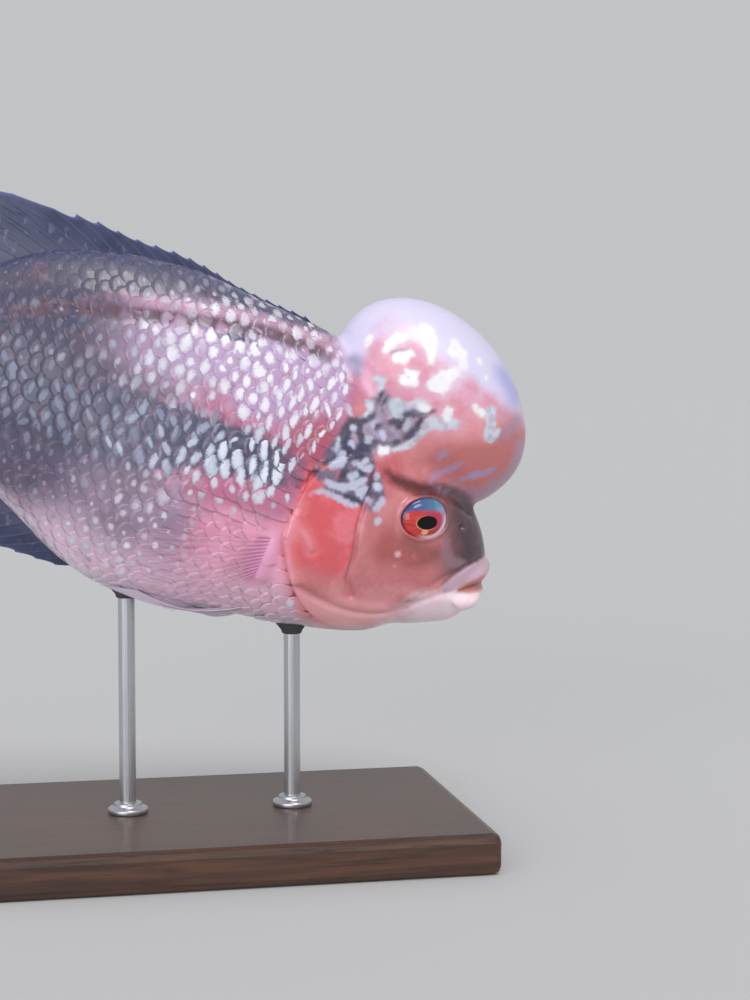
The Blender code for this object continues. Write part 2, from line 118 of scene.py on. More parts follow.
def bodyPoint(s, turn):
    # turn runs round the section from the fish's left, over its back
    top, bottom, width, middle = section(s)
    c, n = np.cos(turn), np.sin(turn)
    roundness, height = halfSection(n >= 0, top, bottom, middle)
    power = 2.0 / roundness
    y = np.sign(c) * np.abs(c) ** power * width
    z = middle + np.sign(n) * np.abs(n) ** power * height
    return np.stack(np.broadcast_arrays(s, y, z), -1)


def bodyWidth(s, z):
    # half width of the body at s and height z, and 0 outside it
    top, bottom, width, middle = section(s)
    power, height = halfSection(z >= middle, top, bottom, middle)
    share = np.minimum(np.abs(z - middle) / height, 1.0)
    return width * (1.0 - share ** power) ** (1.0 / power)


def humpSag(points):
    away = np.hypot(points[..., 0] - humpShape["sagAt"][0], points[..., 2] - humpShape["sagAt"][1])
    down = np.array([humpShape["sag"][0], 0.0, humpShape["sag"][1]])
    return bump(away, humpShape["sagReach"])[..., None] * down


def humpLocal(points):
    # places in the hump's own axes, where its surface is at 1
    points = points - humpSag(points)
    pitch = math.radians(humpShape["pitch"])
    ds, dz = points[..., 0] - humpShape["centre"][0], points[..., 2] - humpShape["centre"][1]
    along = ds * math.cos(pitch) + dz * math.sin(pitch)
    up = -ds * math.sin(pitch) + dz * math.cos(pitch)
    long, wide, tall = humpShape["halfAxes"]
    fuller = 1.0 + humpShape["taper"] * along / long
    return np.stack([along / long, points[..., 1] / (wide * fuller), up / (tall * fuller)], -1)


def humpDistance(points):
    # roughly how far outside the hump, in mm
    return (np.linalg.norm(humpLocal(points), axis=-1) - 1.0) * humpShape["halfAxes"][2]


def bodyDistance(points):
    # roughly how far outside the body, in mm
    top, bottom, width, middle = section(points[..., 0])
    power, height = halfSection(points[..., 2] >= middle, top, bottom, middle)
    across = np.abs(points[..., 1]) / width
    up = np.abs(points[..., 2] - middle) / height
    return ((across ** power + up ** power) ** (1.0 / power) - 1.0) * np.minimum(width, height)


# The swung midline, in steps of half a millimetre
bendSteps = np.arange(-60.0, 320.0, 0.5)


def heading(s):
    return math.radians(pose["bend"]) * smoothStep(pose["bendStart"], pose["bendEnd"], s)


midX = -(bendSteps[0] + np.concatenate([[0.0], np.cumsum(0.5 * np.cos(heading(bendSteps[:-1] + 0.25)))]))
midY = np.concatenate([[0.0], np.cumsum(0.5 * np.sin(heading(bendSteps[:-1] + 0.25)))])


def posed(points):
    # fish millimetres to the frame's metres
    s, y, z = points[..., 0], points[..., 1], points[..., 2]
    angle = heading(s)
    x = np.interp(s, bendSteps, midX) + y * np.sin(angle)
    across = np.interp(s, bendSteps, midY) + y * np.cos(angle)
    tip = math.radians(pose["noseDown"])
    return mm * np.stack([
        x * math.cos(tip) + z * math.sin(tip) + pose["forward"],
        across,
        -x * math.sin(tip) + z * math.cos(tip) + pose["height"],
    ], -1)


def fetched(items, what, width, kind=np.float32):
    # one row for each item of a mesh
    rows = np.empty(len(items) * width, kind)
    items.foreach_get(what, rows)
    return rows.reshape(-1, width)


def meshPoints(mesh):
    return fetched(mesh.vertices, "co", 3).astype(float)


def setMeshPoints(mesh, points):
    mesh.vertices.foreach_set("co", np.asarray(points, np.float32).ravel())
    mesh.update()


def meshNormals(mesh):
    return fetched(mesh.vertex_normals, "vector", 3).astype(float)


def meshEdges(mesh):
    return fetched(mesh.edges, "vertices", 2, np.int32)


def newPiece(name, points, faces):
    mesh = bpy.data.meshes.new(name)
    mesh.from_pydata([tuple(p) for p in points], [], [tuple(f) for f in faces])
    mesh.update()
    piece = bpy.data.objects.new(name, mesh)
    bpy.context.scene.collection.objects.link(piece)
    return piece


def choose(*pieces):
    bpy.ops.object.select_all(action="DESELECT")
    for piece in pieces:
        piece.select_set(True)
    bpy.context.view_layer.objects.active = pieces[0]


def applyAll(piece):
    choose(piece)
    for modifier in list(piece.modifiers):
        bpy.ops.object.modifier_apply(modifier=modifier.name)


def relax(points, edges, weight, rounds):
    # evens out the points, each by its own weight
    a, b = edges[:, 0], edges[:, 1]
    count = len(points)
    degree = np.maximum(np.bincount(a, minlength=count) + np.bincount(b, minlength=count), 1)
    for _ in range(rounds):
        for k in range(3):
            near = (np.bincount(a, weights=points[b, k], minlength=count)
                    + np.bincount(b, weights=points[a, k], minlength=count)) / degree
            points[:, k] += weight * (near - points[:, k])
    return points


def strokeDistance(points, stroke):
    # distance in mm to a chain of points, less the radius each carries as its last number
    stroke = np.array(stroke, float)
    if len(stroke) == 1:
        return np.linalg.norm(points - stroke[0, :-1], axis=-1) - stroke[0, -1]
    best = np.full(len(points), 1e9)
    for start, end in zip(stroke[:-1], stroke[1:]):
        along = end[:-1] - start[:-1]
        t = np.clip((points - start[:-1]) @ along / (along @ along), 0.0, 1.0)
        away = np.linalg.norm(points - start[:-1] - t[:, None] * along, axis=-1)
        best = np.minimum(best, away - (start[-1] + (end[-1] - start[-1]) * t))
    return best


def smoothChain(points, steps=6):
    # a rounder chain through the same points
    p = np.array(points, float)
    ends = np.vstack([2 * p[0] - p[1], p, 2 * p[-1] - p[-2]])
    rows = []
    for i in range(1, len(ends) - 2):
        p0, p1, p2, p3 = ends[i - 1:i + 3]
        for t in np.arange(steps) / steps:
            rows.append(0.5 * (2 * p1 + (p2 - p0) * t + (2 * p0 - 5 * p1 + 4 * p2 - p3) * t * t
                               + (3 * p1 - p0 - 3 * p2 + p3) * t ** 3))
    return np.vstack(rows + [p[-1:]])


def sideOfChain(points, chain):
    # distance to a chain in s and z, and on which side of it: positive to the right of its run
    best, side = np.full(len(points), 1e9), np.zeros(len(points))
    for start, end in zip(chain[:-1], chain[1:]):
        along = end - start
        away = points - start
        t = np.clip(away @ along / (along @ along), 0.0, 1.0)
        apart = np.linalg.norm(away - t[:, None] * along, axis=-1)
        cross = away[:, 1] * along[0] - away[:, 0] * along[1]
        nearer = apart < best
        best = np.where(nearer, apart, best)
        side = np.where(nearer, -np.sign(cross), side)
    return best, side


def loftFaces(rings, corners):
    # the faces between rings of points, and an end face on the first and the last
    faces = []
    for i in range(rings - 1):
        for k in range(corners):
            n = (k + 1) % corners
            faces.append((i * corners + k, i * corners + n, (i + 1) * corners + n, (i + 1) * corners + k))
    faces.append(tuple(range(corners))[::-1])
    faces.append(tuple((rings - 1) * corners + k for k in range(corners)))
    return faces


def outward(piece):
    choose(piece)
    bpy.ops.object.mode_set(mode="EDIT")
    bpy.ops.mesh.select_all(action="SELECT")
    bpy.ops.mesh.normals_make_consistent(inside=False)
    bpy.ops.object.mode_set(mode="OBJECT")


def straight(points):
    # fish millimetres to metres, before the pose
    return mm * points * np.array([-1.0, 1.0, 1.0])


def bodyForm():
    corners = 128
    along = [(0.9, 0.35), (1.2, 0.7), (1.6, 0.9)] + [(s, 1.0) for s in np.linspace(2.0, 206.6, 190)]
    along += [(207.3, 0.96), (207.8, 0.85), (208.0, 0.6)]
    turn = np.arange(corners) / corners * math.tau
    rings = []
    for s, share in along:
        ring = bodyPoint(np.full(corners, s), turn)
        middle = ring.mean(axis=0)
        ring = middle + (ring - middle) * share
        ring[:, 0] = s
        rings.append(ring)
    piece = newPiece("body_form", straight(np.vstack(rings)), loftFaces(len(rings), corners))
    outward(piece)
    return piece


def humpForm():
    bpy.ops.mesh.primitive_uv_sphere_add(segments=96, ring_count=64, radius=1.0)
    piece = bpy.context.object
    unit = meshPoints(piece.data)
    pitch = math.radians(humpShape["pitch"])
    long, wide, tall = humpShape["halfAxes"]
    fuller = 1.0 + humpShape["taper"] * unit[:, 0]
    along, up = unit[:, 0] * long, unit[:, 2] * tall * fuller
    points = np.stack([
        humpShape["centre"][0] + along * math.cos(pitch) - up * math.sin(pitch),
        unit[:, 1] * wide * fuller,
        humpShape["centre"][1] + along * math.sin(pitch) + up * math.cos(pitch),
    ], -1)
    setMeshPoints(piece.data, straight(points + humpSag(points)))
    outward(piece)
    return piece


def lipForm(which):
    front, side = mouthShape[which], mouthShape["spread"] * (1 if which == "upper" else -1)
    (s, z), width = mouthShape["corner"], mouthShape["halfWidth"]
    half = [(s + 1.0, width, z + side),
            (front[0] + (s - front[0]) * 0.35, 0.85 * width, front[1] + (z - front[1]) * 0.45 + side),
            (front[0] + 1.3, 0.45 * width, front[1] + (z - front[1]) * 0.12),
            (front[0], 0.0, front[1])]
    chain = smoothChain(half + [(p[0], -p[1], p[2]) for p in reversed(half[:-1])], 10)
    corners = 20
    turn = np.arange(corners) / corners * math.tau
    rings = []
    for i, p in enumerate(chain):
        ahead = chain[min(i + 1, len(chain) - 1)] - chain[max(i - 1, 0)]
        across = np.cross((0.0, 0.0, 1.0), ahead)
        across /= np.linalg.norm(across)
        up = np.cross(ahead, across)
        up /= np.linalg.norm(up)
        fullness = min(1.6 * (1 - abs(2 * i / (len(chain) - 1) - 1)), 1.0)
        radius = mouthShape["cornerRadius"] + (mouthShape["radius"] - mouthShape["cornerRadius"]) * fullness
        ring = 1.1 * np.outer(np.cos(turn), across) + np.outer(np.sin(turn), up)
        rings.append(p + ring * radius)
    piece = newPiece(which + "_lip_form", straight(np.vstack(rings)), loftFaces(len(rings), corners))
    outward(piece)
    return piece


def mouthForm():
    # the wedge between the jaws, which closes at the mouth's corner
    s, z = mouthShape["corner"]
    front, half = mouthShape["front"], 30.0
    corners = [(s, z), (front, mouthShape["top"]), (front, mouthShape["bottom"])]
    points = np.array([(a, y, b) for y in (-half, half) for a, b in corners])
    faces = [(0, 1, 2), (5, 4, 3), (0, 3, 4, 1), (1, 4, 5, 2), (2, 5, 3, 0)]
    piece = newPiece("mouth_form", straight(points), faces)
    outward(piece)
    return piece


print("skin: forms")
skin = bodyForm()
mouth = mouthForm()
cut = skin.modifiers.new("mouth", "BOOLEAN")
cut.operation = "DIFFERENCE"
cut.object = mouth
applyAll(skin)
bpy.data.objects.remove(mouth)
choose(skin, humpForm(), lipForm("upper"), lipForm("lower"))
bpy.ops.object.join()
skin.name = skin.data.name = "fish_skin"
remesh = skin.modifiers.new("even mesh", "REMESH")
remesh.mode = "VOXEL"
remesh.voxel_size = bodyShape["voxel"] * mm
applyAll(skin)
print("skin:", len(skin.data.polygons), "faces")

# Where the scales begin, from the nape down behind the gill opening, in s and z
scaleEdge = smoothChain([(61.5, 62), (60, 36), (63, 24), (67.4, 14), (70.2, 6), (71.0, -4), (69.2, -12),
                         (65, -19), (59, -26), (53, -30), (46, -36)])
gillEdge = smoothChain([(56.0, 21.5), (61.5, 17.8), (65.6, 12.0), (67.6, 5.3), (68.5, -0.5), (68.4, -7.3),
                        (66.4, -12.8), (63.2, -18.2), (58.6, -23.6), (53.0, -27.0), (46.0, -29.5),
                        (36.0, -30.5)])
face = {
    "eyeOpening": (7.75, 6.0),      # half width and height as seen from the side
    "eyeShift": (0.4, -0.3),        # from the ball's middle to the opening's
    "eyeRim": 0.4, "upperLid": 1.0, "socket": 4.2,
    # the chin and the throat: where, how wide and how much fuller, in mm
    "underJaw": [(9.5, 6.5, 3.0), (25.5, 5.5, -1.9)],
    "preopercle": [(45.6, 17.5), (47.4, 12.5), (48.2, 5.5), (48.0, 0.0), (47.0, -6.5), (46.6, -13.5),
                   (44.0, -18.5)],
    "throatFold": [(60.0, -19.5), (52.3, -21.8), (43.7, -23.2), (35.0, -22.6), (28.5, -20.5),
                   (25.5, -16.8)],
    "gillFold": [(66.6, 1.0), (64.7, -2.8), (62.3, -4.9), (60.0, -7.6)],
    "lipFold": [(19.5, -9.0), (16.5, -6.3), (13.0, -3.6), (8.5, 0.4), (5.0, 3.2)],
    "jawLine": [(11.8, -10.0), (16.0, -11.6), (20.5, -14.6), (25.5, -19.5), (30.0, -25.0)],
    "brow": [(43.0, 19.0), (40.5, 17.9), (36.5, 17.3), (32.0, 17.1), (28.9, 17.4), (25.0, 18.2),
             (20.4, 18.4),
             (15.9, 17.4), (12.4, 15.6)],
    "finBase": [(70.2, -6.0), (71.6, -12.5), (72.3, -19.5)],
    "cheekBones": [(23.0, 0.0), (28.0, -3.6), (34.0, -3.0), (38.5, 1.5)],
    "nostril": (15.2, 9.6),
    "pores": [(20.5, 4.2), (23.0, -1.2), (27.6, -4.6), (33.2, -4.4), (38.4, -1.2), (44.9, -3.0),
              (44.6, -9.6),
              (42.0, -15.2), (19.4, -14.2), (24.6, -19.0)],
}
coatShape = {
    "columns": 2.26,        # from one column of scales to the next
    "rows": 9.0,            # from one scale to the next in a column; every other column is half of it up
    "length": 8.6,
    "halfWidth": 3.5,
    "from": 50.0, "to": 205.0,
    "root": -0.62,          # how deep the root lies under the coat's surface
    "rise": 2.2,            # how fast a scale comes up from its root
    "dome": 0.07,
    "thickness": 0.09,
    "along": 6, "across": 6,
    "pearlAt": 6.0,         # how far behind its root a scale's pearl sits
    "sunk": 0.47,           # how much deeper the scales of the chest lie
    "uneven": {"size": 0.05, "turn": 0.05, "lift": 0.12, "place": 0.18},
    "backGroove": [(66.0, 47.8), (73.4, 48.7), (89.0, 49.9), (107.2, 47.4), (126.2, 44.7), (144.5, 40.9),
                   (165.0, 34.0)],
}
backGroove = smoothChain(coatShape["backGroove"])


def trunkRelief(points):
    # the groove under the back's ridge, and the ridge over it
    apart, side = sideOfChain(points[:, [0, 2]], backGroove)
    fade = smoothStep(60.0, 72.0, points[:, 0]) * smoothStep(168.0, 145.0, points[:, 0])
    above = 0.5 - 0.5 * side * np.minimum(apart / 1.5, 1.0)
    return fade * (0.40 * bump(apart - 4.6, 3.6) * above - 0.50 * bump(apart, 3.2))


# Markings as strokes: each is a chain of (s, z, radius) on the fish's side, lifted onto its surface
markings = {
    "white": [
        [(58, 56.4, 1.4), (58.3, 54.4, 1)],
        [(48.7, 59.9, 1.1), (50.7, 58.6, 1.8), (52.4, 56, 1.5), (53.2, 54.9, 1)],
        [(46.3, 55.1, 1.2), (47.9, 53.6, 1.7), (49.9, 52.8, 1.1)],
        [(42.5, 63.3, 2.2), (41.5, 60.3, 2.3), (40.4, 57.6, 1.1), (39.8, 54.8, 1)],
        [(33.1, 62, 1.5), (33.6, 59.1, 2.1), (30.8, 59.4, 1.7), (30.1, 56.4, 1.6)],
        [(31.8, 53.5, 1.5), (34.5, 50.7, 2.3), (37.2, 48, 2.1), (34.3, 47.8, 1.5)],
        [(46.7, 48.3, 0.9), (45.8, 46.7, 1), (43.3, 47.4, 1), (43.7, 49.6, 1), (46.1, 49.6, 0.6)],
        [(23.1, 44.6, 0.9), (20.8, 44.3, 1.2)],
        [(31.3, 42.1, 1), (30.8, 39.9, 1.3)],
        [(38.7, 41.1, 1.4), (37.3, 40.7, 0.6)],
        [(21.5, 54.6, 0.7)],
        [(24.8, 59.1, 1)],
        [(45.2, 26, 1.2), (47.1, 25, 0.9)],
        [(59.9, 47, 0.6)],
    ],
    "pale": [
        [(28.5, 38.4, 1.7), (31.6, 37.7, 1.8), (34.8, 38.1, 1.3), (36.1, 35.2, 1.4), (37.1, 32.5, 1.4),
         (38.5, 29.9, 1.1), (41.4, 27.8, 1), (44, 26.7, 1.1)],
        [(38.7, 40.9, 1.9), (41.2, 39.8, 1.9), (43.6, 38.3, 2.2), (46.3, 39.7, 2), (44.3, 36.8, 2.2)],
        [(53.3, 45.4, 1.1), (51.9, 45, 1.5), (51.6, 43.3, 1)],
        [(17.7, 44.7, 2.2), (16.8, 42.5, 1.7), (16.8, 39.5, 1.5), (15.5, 37.7, 1.7), (13.4, 39.9, 1.1)],
        [(59.9, 35.9, 0.4), (59.1, 34.2, 0.5), (57.9, 32.9, 0.5)],
        [(53.3, 37.7, 1), (52.7, 35.7, 1.2), (53.4, 34.3, 0.9)],
        [(59.2, 27.5, 0.5), (60.2, 24.9, 0.6), (60.3, 22.5, 0.6)],
    ],
    "streak": [
        [(21.4, 28, 0.5), (23.4, 26, 0.8), (26, 24.4, 0.7), (28, 22.3, 0.8), (28.7, 20.5, 0.5)],
        [(10.8, 29.3, 0.5), (13.6, 27, 1), (16.9, 24.9, 1), (19.8, 23.3, 0.3)],
        [(27.7, 28.9, 1), (28.5, 27.8, 0.5)],
        [(26.3, 18.9, 0.6), (21.6, 18.7, 0.6)],
    ],
    "ground": [
        [(51.1, 38.3, 2.6), (49, 35.4, 3), (50.6, 32, 3.5), (56.2, 30.1, 2.6), (58, 25.9, 2.2),
         (55.1, 23.2, 2.6),
         (52.1, 26.1, 3.5), (47.8, 29.4, 3.9), (44.1, 32, 3.9), (40.6, 33.5, 3), (38.5, 35.4, 1.7)],
        [(50.1, 41.2, 1.7), (46.1, 37.5, 2.6), (42.1, 37.4, 2.2), (38.5, 39.1, 1.3)],
    ],
    "slate": [
        [(58.5, 24.6, 3), (59.9, 19.9, 3.5), (55.4, 22, 3), (52.3, 24.3, 2), (50.3, 20.5, 2.5),
         (55.2, 17.3, 3),
         (51.9, 16.2, 3), (55, 12.6, 3), (59.7, 11.4, 2), (51.9, 10.4, 2.5), (47.8, 12.4, 2.5),
         (46, 9.5, 2),
         (45.8, 16.8, 1.5), (44.4, 13.3, 1.5)],
        [(60.4, 14, 2), (63.9, 13.9, 1.5)],
    ],
    "dark": [
        [(50.7, 41.9, 0.5), (50.7, 38.4, 0.6), (50.6, 36.3, 0.6), (51.9, 34, 0.7), (54.3, 32.1, 0.8),
         (57.2, 31.7, 0.7)],
        [(49.1, 41.5, 0.3), (49.5, 38.8, 0.3), (49, 35.8, 0.4), (47.4, 35.6, 0.3)],
        [(35.1, 40.9, 0.3), (36.6, 39.6, 0.4), (38, 37.5, 0.6), (38.2, 34.8, 0.7), (39, 32.4, 0.8),
         (40.8, 29.8, 0.9),
         (44.2, 27.7, 1), (47.3, 27.1, 1.3), (50.6, 26.5, 1.3), (52.9, 24.5, 1.3)],
        [(42.5, 37.5, 0.8), (40.8, 38.4, 1), (37.7, 39.3, 0.7)],
        [(45.6, 34.4, 1), (43.6, 34.8, 1.1), (43.2, 33.4, 0.7)],
        [(57.6, 31.3, 1.3), (58.7, 27.4, 1.6), (58.3, 25, 1.5), (56.8, 22.8, 1.5), (54.3, 22.6, 1.4),
         (52, 21.7, 1.1)],
        [(54.9, 31.5, 0.8), (54.9, 29.2, 1.1), (53.3, 27.5, 1), (50.5, 25.1, 1.2)],
        [(48.4, 32.6, 0.5), (49.7, 31.8, 0.7)],
        [(42.4, 36, 0.5), (42.6, 33.8, 0.5)],
        [(57.4, 10.1, 0.6), (54.3, 9.8, 0.6), (51.5, 9.8, 0.7), (49.4, 8.9, 0.6)],
        [(57.3, 13.3, 0.5), (54.3, 13.6, 0.6), (52.3, 15.9, 0.6), (50.8, 17.2, 0.6)],
        [(48, 19.1, 0.7), (48, 15.7, 0.8), (47.6, 12.5, 0.8), (47.1, 11.7, 0.5)],
        [(56, 16.6, 0.7), (56.7, 15.2, 0.8), (57.4, 14.1, 0.6)],
        [(52.3, 22.3, 0.9), (54.2, 21.4, 0.8), (56, 20.4, 0.6), (57.1, 23, 0.9)],
        [(65.2, 15.2, 0.4), (65.5, 13.5, 0.4), (66.8, 11.9, 0.4), (68.9, 10.5, 0.2)],
        [(51.7, 17.7, 0.6), (50.1, 17.4, 0.5)],
        [(47.2, 55.6, 0.3), (49.4, 54.9, 0.4), (50.9, 54.2, 0.3)],
        [(44.8, 48.3, 0.7)],
    ],
    "pearl": [
        [(56.8, 29.6, 1.1)],
        [(56.2, 25.1, 1.1), (55.6, 24.4, 0.7)],
        [(51.6, 27.7, 1), (50.4, 28.5, 0.7)],
        [(51, 31.9, 0.8), (50.6, 32.9, 0.5)],
        [(41, 35.5, 1), (41.1, 33.7, 0.9)],
        [(47.5, 30.3, 1.1), (46.8, 29.2, 0.9)],
        [(43, 31.2, 0.8), (41.9, 31.7, 0.6)],
        [(51.3, 27, 0.9)],
        [(58.2, 21.1, 1.5), (58.6, 18.8, 1.7), (60.7, 17.1, 1.2)],
        [(64.1, 16.7, 1.2)],
        [(50.4, 21.6, 0.9), (52.2, 19.6, 1.1), (54.2, 19.6, 0.9)],
        [(49.3, 19.4, 1.4), (51.2, 18.9, 0.9)],
        [(53.8, 15.6, 1.5), (52.8, 16.5, 1)],
        [(61.1, 12.2, 1.1), (57.9, 11.8, 1.2), (54.9, 12.1, 1.3), (52.7, 13.4, 1.4), (50.8, 15.1, 1.5),
         (49.7, 15.9, 0.8)],
        [(50.2, 11.8, 1.6), (49.3, 13.3, 1.3), (49.5, 10.8, 0.8)],
        [(63.9, 8.4, 0.7), (61.5, 9.5, 0.9), (58.1, 9.1, 0.9), (54.9, 8.3, 0.9), (52.2, 7.6, 0.9),
         (50.2, 7.8, 0.8)],
        [(47.2, 10.2, 1.1)],
        [(46.1, 17.7, 1.2)],
        [(45.3, 14.9, 1.5)],
        [(42.9, 11, 1.3), (43.9, 9.3, 1.2), (44.8, 8.1, 0.8)],
        [(42.7, 5, 1.2)],
        [(66.3, 6.5, 0.4), (64.9, 7.7, 0.5)],
    ],
    "dot": [
        [(33.9, -2.9, 1)],
        [(33.8, -6.6, 0.3)],
    ],
    # crease: painted shadow lines in the folds of the cheek, at the nape and by the pectoral fin's base
    "crease": [
        [(46.6, 13, 0.1), (47.2, 7.6, 0.5), (48.2, 2.2, 0.5), (46.9, -5.7, 0.4), (47.2, -13.6, 0.2)],
        [(62.3, 44, 0.2), (60.2, 42, 0.4), (58.4, 41.6, 0.2)],
        [(75.5, -15.4, 0.1), (71.5, -15.9, 0.5), (68.8, -15, 0.2)],
    ],
    "rim": [
        [(66.6, 4, 0.3), (68.0, -0.5, 0.8), (68.0, -7.3, 1.0), (66.0, -12.8, 1.1), (62.8, -18.2, 1.1),
         (58.2, -23.6, 1.0),
         (52.6, -27.0, 0.9), (46.0, -29.5, 0.7), (36.0, -30.5, 0.4)],
        [(66.0, -1.2, 0.3), (64.6, -3.2, 0.7), (62.2, -5.2, 0.6), (60.0, -8.0, 0.2)],
    ],
}

# Soft patches as seen from the side: chains of (s, z, radius)
zones = {
    "lavender": [[(62.2, 50.2, 2.6), (61.9, 57.1, 3.6), (57.5, 64.4, 2.8), (51.1, 68.3, 3.2),
                  (43.4, 67.7, 4.6),
                  (34.9, 64.9, 7.2), (27.1, 62.2, 7.9), (20.3, 58.2, 7.2), (14.0, 54.8, 5.4),
                  (8.2, 51.6, 3.0)],
                 [(61.4, 63.1, 3.2), (51.2, 71.1, 3.8), (43.5, 72.6, 4.2), (35.7, 72.2, 4.4),
                  (27.0, 70.0, 4.4),
                  (19.1, 65.9, 4.4), (12.0, 60.5, 4.2), (5.9, 54.2, 3.4), (2.9, 49.6, 1.6)]],
    "haze": [[(50.5, 60.2, 2.7), (46.8, 64.4, 3.6), (41.3, 62.8, 4.1), (37.2, 59.8, 2.7), (32.5, 60.2, 4.1),
              (30.4, 56.3, 2.7), (33.9, 50.4, 2.7)]],
    "cool": [[(15.6, 57.6, 2.4), (9.3, 53.0, 3.4)]],
    # painted shade along the hump's lower front edge, where it turns down and away from the light
    "humpEdgeShade": [[(7.7, 44.3, 1.8), (10.9, 40.8, 2.0), (13.9, 38.2, 1.0)],
              [(3.6, 37.8, 1.8), (2.6, 33.3, 2.6), (3.4, 28.4, 3.2), (5.8, 23.6, 3.6), (10.0, 19.0, 3.4),
               (16.7, 19.0, 2.5), (21.2, 20.8, 1.2)]],
    "rosy": [[(4.0, 46.5, 2.2), (6.2, 47.4, 2.2), (12.1, 49.5, 2.3), (13.0, 45.7, 1.8)]],
    "nape": [[(62.3, 46.6, 1.8), (60.5, 48.0, 2.3), (59.3, 45.6, 1.4)]],
    # painted shade in the hollow above the eye, under the hump's overhang
    "hollowShade": [[(43.0, 19.6, 0.2), (40.5, 18.3, 1.0), (36.5, 17.6, 1.5), (32.0, 17.3, 1.6),
                (28.9, 17.6, 1.6),
                (25.0, 18.4, 1.5), (20.4, 18.6, 1.3), (15.9, 17.6, 1.0), (12.4, 16.0, 0.8)]],
    "muzzle": [[(19.0, 4.4, 0.4), (18.4, 0.8, 1.3), (16.4, -1.4, 1.9), (13.4, -1.2, 1.4),
                (11.0, -0.8, 0.6)]],
    "underEye": [[(32.6, 1.6, 1.0), (29.0, 0.2, 2.0), (25.5, -0.4, 2.2), (22.5, 0.2, 1.4)]],
    # painted shade along the fold over the upper lip
    "lipShade": [[(4.6, 4.0, 0.3), (10.2, -0.7, 0.5), (14.4, -4.9, 0.6), (17.0, -8.4, 0.2)]],
    "upperLip": [[(1.0, 1.8, 2.4), (5.0, -0.9, 2.2), (9.4, -4.0, 2.1), (12.8, -7.2, 1.9),
                  (15.0, -9.4, 1.2)]],
    "gape": [[(10.4, -9.0, 0.6), (8.2, -8.2, 1.2), (5.4, -6.9, 1.5), (2.4, -5.8, 1.4), (0.2, -5.2, 1.4)]],
    # painted shade in the slit between the lips
    "slitShade": [[(10.6, -9.0, 0.1), (7.6, -7.4, 0.4), (4.0, -5.6, 0.4), (0.0, -4.4, 0.4)]],
    "finBase": [[(70.8, -6.6, 1.6), (72.6, -12.5, 3.0), (72.6, -18.6, 2.2)]],
}

# The edges of the flank's dark band and the upper edge of the red, by s and z
bands = {
    "top": [(60, 18.0), (77, 20.6), (93, 22.3), (106, 23.1), (117, 24.1), (130, 22.6), (150, 23.5),
            (175, 23.0), (208, 21.0)],
    "bottom": [(60, 7.0), (77, 5.6), (86, 6.4), (98, 5.8), (111, 2.5), (125, 0.9), (136, 1.3),
               (154, 3.3), (175, 6.5), (208, 7.0)],
    "redTop": [(56, 44), (66, 43), (72, 38), (84, 35.5), (95, 34), (104, 32), (114, 29)],
}


def humpSide(s, z):
    # how far the hump's surface stands from the middle plane at s and z, and 0 off it
    local = humpLocal(np.stack([s, np.zeros_like(s), z], -1))
    inside = np.clip(1.0 - local[..., 0] ** 2 - local[..., 2] ** 2, 0.0, None)
    fuller = 1.0 + humpShape["taper"] * local[..., 0]
    return np.sqrt(inside) * humpShape["halfAxes"][1] * fuller


def lifted(stroke):
    chain = np.array(stroke, float)
    s, z = chain[:, 0], chain[:, 1]
    y = np.maximum(bodyWidth(s, z), humpSide(s, z))
    return np.stack([s, y, z, chain[:, 2]], -1)


def strokeField(points, strokes, reach=4.0):
    # mm outside the nearest stroke, and no more than reach
    folded = points * np.array([1.0, 0.0, 1.0]) + np.abs(points) * np.array([0.0, 1.0, 0.0])
    field = np.full(len(points), reach)
    for stroke in strokes:
        chain = lifted(stroke)
        low, high = chain.min(axis=0), chain.max(axis=0)
        room = reach + high[3]
        near = ((folded[:, 0] > low[0] - room) & (folded[:, 0] < high[0] + room)
                & (folded[:, 2] > low[2] - room) & (folded[:, 2] < high[2] + room))
        field[near] = np.minimum(field[near], strokeDistance(folded[near], chain))
    return np.maximum(field, -reach)


def zoneField(points, strokes, reach=8.0):
    # mm outside the nearest stroke as seen from the side
    flat = points[:, [0, 2]]
    return np.minimum(np.min([strokeDistance(flat, stroke) for stroke in strokes], axis=0), reach)


def otherSide(points):
    # the left side carries the same markings, a little out of place
    left = smoothStep(0.0, 4.0, points[:, 1])
    moved = points.copy()
    moved[:, 0] += left * (1.6 * np.sin(points[:, 2] / 6.0) + 0.8 * np.sin(points[:, 0] / 3.7 + 1.0))
    moved[:, 2] += left * (1.8 * np.sin(points[:, 0] / 8.0) - 1.0)
    return moved


def heightOf(chain, s):
    return np.interp(s, [p[0] for p in chain], [p[1] for p in chain])


